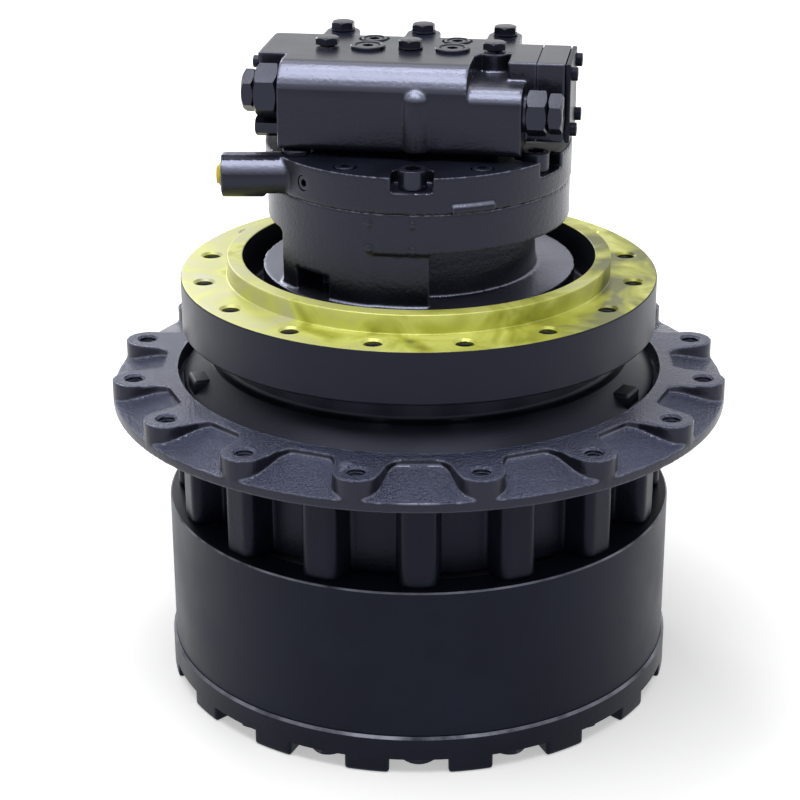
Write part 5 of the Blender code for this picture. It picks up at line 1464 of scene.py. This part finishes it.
        # The head's level top takes the darker paint: painted shade.
        dress_level(head, Finish.COVER_AND_SHADE, self.low, self.top + 1, 0.8)
        stood(self.small_screws(), Finish.FITTING, Slot.STEEL_PAINT)
        for index in range(self.screws):
            stood(self.screw(index), Finish.FITTING, Slot.STEEL_PAINT, "head_screw_" + LETTERS[index])
        hand_over(self.shipping_plug(), SPINDLE_SIDE, Finish.PLASTIC, Slot.PLASTIC, ["shipping_plug"])
        stood(self.side_plug(), Finish.FITTING, Slot.STEEL_PAINT, "head_socket_plug")


@dataclass(frozen=True)
class ValvePlan:
    """What the valve block shares with the fittings in it. Bores along U stand at a row and a level."""

    low: float = 573.0
    top: float = 649.0
    bolt_rows: Point = (71, 0)
    bolt_columns: Place = (-86.2, -5.2, 76.3)
    front_shift: float = -2.9
    port_columns: Point = (-49, 33)
    port_rows: Point = (-3.0, 36.0)
    port_radii: Point = (17, 13)
    spool: Point = (-62, 618.0)
    relief: Point = (-65.5, 606.0)
    test: Point = (-52, 581.0)
    gauge: Point = (-29, 638.0)

    def bolt_places(self) -> list[Point]:
        """Return where the bolts stand: the rear row, then the front row."""
        rows = zip(self.bolt_rows, (0, self.front_shift))
        return [(column + shift, row) for row, shift in rows for column in self.bolt_columns]


@dataclass(frozen=True)
class ValveBlock(ValvePlan):
    """The counterbalance valve's casting on its pedestal."""

    left: float = -151
    right: float = 94
    rear: float = 51
    front_edge: float = -28
    notch: float = -123
    notch_edge: float = -37
    front: float = -88
    back: float = -24
    body_foot: float = 567.5
    body_right: float = 57
    body_round: float = 29
    step_left: float = 0
    step_right: float = 108
    step_drop: float = 18
    step_round: float = 17
    step_edge: float = -3
    pedestal_low: Place = (-95, -60, 562.0)
    pedestal_right: float = 85
    pedestal_rear: float = 50
    rear_block: Point = (-46, 35)  # its front and rear
    rear_block_right: float = 144.8
    seam: Point = (117.4, 118.6)
    lap: float = 3
    ear: float = 17
    boss: float = 16
    bolt_hole: float = 7.3
    rib: Point = (9, -80.5)
    rib_radius: float = 14
    rib_top: float = 616
    skin: float = 1.4
    passes: int = 3
    keep: float = 0.45

    def front_beam(self, name: str, left: float, right: float, top: float, rounding: float) -> Piece:
        """Build a length of the front body, with its rounded top and foot.

        Args:
            name: the beam's name.
            left: its left end.
            right: its right end.
            top: its height.
            rounding: the radius of its upper front edge.

        Returns:
            The beam.
        """
        low, front, back = self.body_foot, self.front, self.back
        section = softened([(back, low), (front, low, 7), (front, top, rounding), (back, top)], 8)
        return beam(name, section, left, right)

    def plate(self, top: float) -> Piece:
        """Build the plate under the bolts, with its notch at the left and its step at the right.

        Args:
            top: the plate's height.

        Returns:
            The plate.
        """
        inside = self.notch + 8
        corners = [
            *((self.left, self.rear, 6), (self.left, self.notch_edge, 5), (inside, self.notch_edge)),
            *((inside, self.front_edge), (self.body_right - 2, self.front_edge)),
            *((self.body_right + 9, self.step_edge, 4), (self.right, self.step_edge, 5)),
            (self.right, self.rear, 5),
        ]
        return slab("valve_casting", softened(corners), self.low, top)

    def casting(self) -> Piece:
        """Cast the block from its plate, front body, step, ears, rib and pedestal.

        Returns:
            The casting.
        """
        top, low, pedestal = self.top - 0.3, self.low, self.pedestal_low
        step_top = self.top - self.step_drop
        front, rear = self.rear_block
        shells = [
            self.plate(top),
            self.front_beam("body", self.notch, self.body_right, top, self.body_round),
            self.front_beam("step", self.step_left, self.step_right, step_top, self.step_round),
            block("step back", (self.body_right - 12, -40, low), (self.right, 5, step_top)),
            block("pedestal", pedestal, (self.pedestal_right, self.pedestal_rear, low + 11)),
            block("rear block", (self.right - self.lap, front, low), (self.rear_block_right, rear, top)),
        ]
        half = self.ear
        for column, row in self.bolt_places()[:3]:
            shells.append(rod("ear", *upright((column, row), low, top), half))
            shells.append(block("ear root", (column - half, 38, low), (column + half, row, top)))
        shells.append(rod("boss", *upright(self.bolt_places()[-1], 600, top), self.boss))
        shells.append(rod("rib", *upright(self.rib, self.body_foot + 3, self.rib_top), self.rib_radius))
        shells.append(ball("rib head", (*self.rib, self.rib_top), self.rib_radius))
        return cast("valve_casting", self.skin, self.passes, self.keep, *shells)

    def seam_ring(self) -> Piece:
        """Make the cutter of the groove that parts the rear block in two.

        Returns:
            The cutter.
        """
        left, right = self.seam
        plate = block("seam", (left, -60, self.low - 5), (right, 50, self.top + 5))
        return shaped(plate, How.CUT, block("inside", (78, -43, self.low + 3), (142, 32, self.top - 3)))

    def bores(self) -> Iterator[Piece]:
        """Make the cutters of the bolt holes, the ports and the end bores.

        Yields:
            Each cutter.
        """
        for place in self.bolt_places():
            yield rod("bolt hole", *upright(place, 614, 670), self.bolt_hole)
        inner, outer, floor, above = 13.2, 15.2, self.top - 2.5, self.top + 5
        groove = [(inner, floor), (outer, floor), (outer, above), (inner, above)]
        for column in self.port_columns:
            for row, radius in zip(self.port_rows, self.port_radii):
                yield rod("port", *upright((column, row), 635, 670), radius + 0.3)
            yield moved(lathe("groove", groove, SMALL), (column, self.port_rows[1], 0))
        for left, right, axis, radius in (
            (-150, 45, self.spool, 12.35),
            (-150, -108.7, self.spool, 17.3),
            (-150, -112.7, self.test, 5.3),
            (-170, -145.7, self.gauge, 6.3),
            (83.7, 128, self.relief, 14.3),
        ):
            yield rod("end bore", *along(left, right, axis), radius)

    def build(self) -> None:
        """Cast, drill and dress the block."""
        casting = drilled(self.casting(), self.seam_ring(), *self.bores())
        valve = stood(casting, Finish.CAST, Slot.CAST, "valve_block", crisp=False)
        dress_level(valve, Finish.LEVEL, self.top - 0.8, self.top + 1, 0.97)


@dataclass(frozen=True)
class ValveFittings(ValvePlan):
    """The valve block's bolts, port plugs, end plugs, relief valve and side cover."""

    bolt_flats: float = 21
    bolt_head: float = 8.4
    washer: float = 1.6
    washer_radius: float = 12.2
    shank: float = 7
    port_proud: Point = (3.0, 1.0)
    port_socket: float = 10
    gauge_radius: float = 6
    cover_low: Place = (145.3, -46.0, 573.0)
    cover_high: Place = (150.3, 35.0, 648.4)
    cover_screws: Point = (-35.0, 24.0)
    cover_screw: float = 6.5

    def bolt(self, index: int) -> Piece:
        """Build one flanged bolt that holds the block down.

        Args:
            index: which bolt it is.

        Returns:
            The bolt.
        """
        place, low = self.bolt_places()[index], self.top + 0.3
        seat = upright(place, low + self.washer / 2, low + self.bolt_head)
        head = hexagon("block_bolt_" + LETTERS[index], *seat, self.bolt_flats)
        washer = rod("washer", *upright(place, low, low + self.washer), self.washer_radius)
        shaped(head, How.ADD, bevelled(washer, 0.4))
        return shaped(head, How.ADD, rod("shank", *upright(place, 615, low + 5), self.shank))

    def port_plug(self, name: str, place: Point, radius: float, proud: float) -> Piece:
        """Build one socket plug with a turned groove in its face.

        Args:
            name: the plug's name.
            place: where it stands.
            radius: its radius.
            proud: how far it stands out of the block.

        Returns:
            The plug.
        """
        high, low, groove = self.top + proud, self.top - 13.7, radius * 0.62
        profile = [
            *((0.0, high - 0.8), (groove, high - 0.8, 0.4), (groove + 1.2, high - 2.4, 0.4)),
            *((groove + 2.4, high, 0.6), (radius, high, 1.2), (radius, low), (0.0, low)),
        ]
        plug = lathe(name, softened(profile), SMALL)
        socketed(plug, *upright((0, 0), high - 8, high + 4), self.port_socket)
        return moved(plug, (*place, 0))

    def hexagons(self) -> Iterator[tuple[Piece, str]]:
        """Build the hexagon fittings along U: test plug, spool plug and cap, relief valve and cap.

        Yields:
            Each fitting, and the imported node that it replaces.
        """
        both = (True, True)
        test = hexagon("test_point", *along(-123.3, -150.3, self.test), 17, both)
        yield shaped(test, How.ADD, rod("stem", *along(-136, -113, self.test), 5)), "test_plug"
        gauge = bevelled(rod("gauge_point", *along(-156, -146, self.gauge), self.gauge_radius), 0.7)
        yield socketed(gauge, *along(-152, -160, self.gauge), 5), "gauge_plug"
        plug = hexagon("spool_plug", *along(-123.3, -146.3, self.spool), 46, both)
        yield shaped(plug, How.ADD, rod("stem", *along(-134, -109, self.spool), 17)), "spool_end_plug"
        cap = hexagon("spool_cap", *along(-146.6, -158.6, self.spool), 36, both)
        yield shaped(cap, How.CUT, rod("centre", *along(-156, -166, self.spool), 5)), "spool_end_cap"
        body = hexagon("relief_body", *along(111.3, 131.3, self.relief), 38, both)
        shaped(body, How.ADD, bevelled(rod("collar", *along(108.3, 112.8, self.relief), 18), 0.7))
        yield shaped(body, How.ADD, rod("stem", *along(84, 111.9, self.relief), 14)), "relief_valve_body"
        cap = hexagon("relief_cap", *along(131.6, 145.6, self.relief), 34, both)
        yield shaped(cap, How.CUT, rod("centre", *along(143, 150, self.relief), 6)), "relief_valve_cap"

    def side_cover(self) -> Piece:
        """Build the rear block's side plate with its four socket screws.

        Returns:
            The plate.
        """
        cover = bevelled(block("side_plate", self.cover_low, self.cover_high), 1.5)
        for row in self.cover_screws:
            for level in (self.low + 11, self.top - 11.6):
                screw = bevelled(rod("screw", *along(147.8, 156.3, (row, level)), self.cover_screw), 0.9)
                shaped(cover, How.ADD, socketed(screw, *along(152, 160, (row, level)), 6))
        return cover

    def build(self) -> None:
        """Build and dress all fittings."""
        for index in range(len(self.bolt_places())):
            stood(self.bolt(index), Finish.FITTING, Slot.STEEL_PAINT, "valve_bolt_" + LETTERS[index])
        rows = zip(("front", "rear"), self.port_rows, self.port_radii, self.port_proud)
        for depth, row, radius, proud in rows:
            for side, column in zip(("left", "right"), self.port_columns):
                plug = self.port_plug(f"port_screw_{depth}_{side}", (column, row), radius, proud)
                stood(plug, Finish.FITTING, Slot.STEEL_PAINT, f"port_plug_{depth}_{side}")
        for piece, node in self.hexagons():
            stood(piece, Finish.FITTING, Slot.CAST, node)
        stood(self.side_cover(), Finish.COVER_AND_SHADE, Slot.CAST, "valve_side_cover")


@dataclass(frozen=True)
class Inside:
    """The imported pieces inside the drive, which keep their shapes."""

    bronze: tuple[str, ...] = ("valve_plate",)
    zinc: tuple[str, ...] = ("drain_plug", "level_plug", "fill_plug")
    ground: tuple[str, ...] = ("bearing", "seal", "spool", "block", "brake", "pin")

    def finish_of(self, node: str) -> Finish:
        """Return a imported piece's finish.

        Args:
            node: the piece's name.

        Returns:
            The finish.
        """
        if node in self.bronze:
            return Finish.BRONZE
        if node in self.zinc:
            return Finish.ZINC
        return Finish.GROUND if any(word in node for word in self.ground) else Finish.GEAR

    def build(self) -> None:
        """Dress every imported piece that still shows."""
        for node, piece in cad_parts.items():
            if piece.hide_render:
                continue
            finish = self.finish_of(node)
            piece.data.materials.clear()
            piece.data.materials.append(MATERIALS[finish])
            LOG.info("%s keeps its shape, as %s", node, finish.name.lower())


@dataclass(frozen=True)
class Lamp:
    """One soft box: its place, its sides and its power in watts."""

    name: str
    place: Place
    sides: Point
    power: float

    def hang(self, aim: Vector) -> None:
        """Hang the soft box, aimed at a point.

        Args:
            aim: the point, in metres.
        """
        lamp = bpy.data.lights.new(self.name, "AREA")
        lamp.shape = "RECTANGLE"
        lamp.size, lamp.size_y = self.sides[0] * MM, self.sides[1] * MM
        lamp.energy = self.power
        box = bpy.data.objects.new(self.name, lamp)
        bpy.context.scene.collection.objects.link(box)
        box.location = Vector(self.place) * MM
        box.rotation_euler = (aim - box.location).to_track_quat("-Z", "Y").to_euler()


@dataclass(frozen=True)
class Studio:
    """A pale floor, soft light and the camera."""

    lens: float = 97.1
    shift: float = -0.0235
    camera_place: Place = (0, -2049.7, 1118.3)
    camera_tilt: float = 90 - 22.156
    middle: Place = (0, 0, 0.35)  # in metres
    white: float = 1.0
    fill: float = 0.22
    floor_side: float = 24
    floor_glow: Point = (0.45, 1.0)
    glow_reach: Point = (0.45, 1.6)
    lamps: tuple[Lamp, ...] = (
        Lamp("front_soft_box", (-250, -700, 2500), (2600, 1100), 34),
        Lamp("overhead_soft_box", (-300, 500, 2700), (1000, 500), 11),
        Lamp("rear_soft_box", (-1050, 2300, 1400), (900, 1000), 15),
    )

    def seen_by(self, tree: Tree, *rays: str) -> Socket:
        """Tell rays of some kinds from all others.

        Args:
            tree: the nodes.
            rays: the kinds.

        Returns:
            A value that is 1 for these rays and 0 for others.
        """
        path = add_node(tree, "LightPath").outputs
        seen = path[rays[0]]
        for ray in rays[1:]:
            seen = add_node(tree, "Math", {0: seen, 1: path[ray]}, operation="MAXIMUM").outputs[0]
        return seen

    def floor(self) -> None:
        """Lay the pale floor. It glows for the camera, less near the drive, so that its shadow stays."""
        bpy.ops.object.select_all(action="DESELECT")
        bpy.ops.mesh.primitive_plane_add(size=self.floor_side)
        floor = bpy.context.object
        floor.name = "floor"
        with editing(floor):
            bpy.ops.mesh.subdivide(number_cuts=3)
        made, tree, shader, place = new_material("pale_floor")
        cloud = add_node(tree, "TexNoise", {"Vector": place, "Scale": 0.6}).outputs["Fac"]
        colour = add_node(tree, "ValToRGB", {"Fac": cloud}, {0.0: "#fdfdfd", 1.0: "#fbfbfc"}).outputs["Color"]
        shader.inputs["Roughness"].default_value = 0.9
        away = add_node(tree, "VectorMath", {0: place}, operation="LENGTH").outputs["Value"]
        (near, far), (dim, full) = self.glow_reach, self.floor_glow
        bounds = {"From Min": near, "From Max": far, "To Min": dim, "To Max": full}
        bright = add_node(tree, "MapRange", {"Value": away, **bounds}).outputs["Result"]
        seen = self.seen_by(tree, "Is Camera Ray", "Is Glossy Ray")
        glow = add_node(tree, "Math", {0: seen, 1: bright}, operation="MULTIPLY").outputs[0]
        for name, value in (("Base Color", colour), ("Emission Color", colour), ("Emission Strength", glow)):
            tree.links.new(value, shader.inputs[name])
        floor.data.materials.append(made)

    def world(self) -> None:
        """Fill the room with soft white, which the camera and reflections see as full white."""
        world = bpy.data.worlds.new("white_room")
        bpy.context.scene.world = world
        world.use_nodes = True
        tree = world.node_tree
        tree.nodes.clear()
        seen = self.seen_by(tree, "Is Camera Ray", "Is Glossy Ray", "Is Transmission Ray")
        bounds = {"Value": seen, "To Min": self.fill, "To Max": self.white}
        strength = add_node(tree, "MapRange", bounds).outputs["Result"]
        light = add_node(tree, "Background", {"Color": srgb("#ffffff"), "Strength": strength})
        out = add_node(tree, "OutputWorld", {"Surface": light.outputs["Background"]})
        out.is_active_output = True

    def camera(self) -> None:
        """Stand the camera where the photograph was taken."""
        made = bpy.data.cameras.new("camera")
        made.lens = self.lens
        made.shift_x = self.shift
        made.clip_end = 100
        holder = bpy.data.objects.new("camera", made)
        bpy.context.scene.collection.objects.link(holder)
        holder.location = Vector(self.camera_place) * MM
        holder.rotation_euler = (math.radians(self.camera_tilt), 0, 0)
        bpy.context.scene.camera = holder

    def build(self) -> None:
        """Set up the studio."""
        self.floor()
        self.world()
        for lamp in self.lamps:
            lamp.hang(Vector(self.middle))
        self.camera()
        bpy.context.scene.view_settings.view_transform = "Standard"


DRIVE = (EndCover, RingGear, Hub, Spindle, MotorCase, MotorHead, ValveBlock, ValveFittings, Inside)


def main() -> None:
    """Build the drive from its foot up, dress what stays, and light it."""
    logging.basicConfig(level=logging.INFO, format="%(message)s")
    for assembly in (*DRIVE, Studio):
        LOG.info("building %s", assembly.__name__)
        assembly().build()


if __name__ == "__main__":
    main()
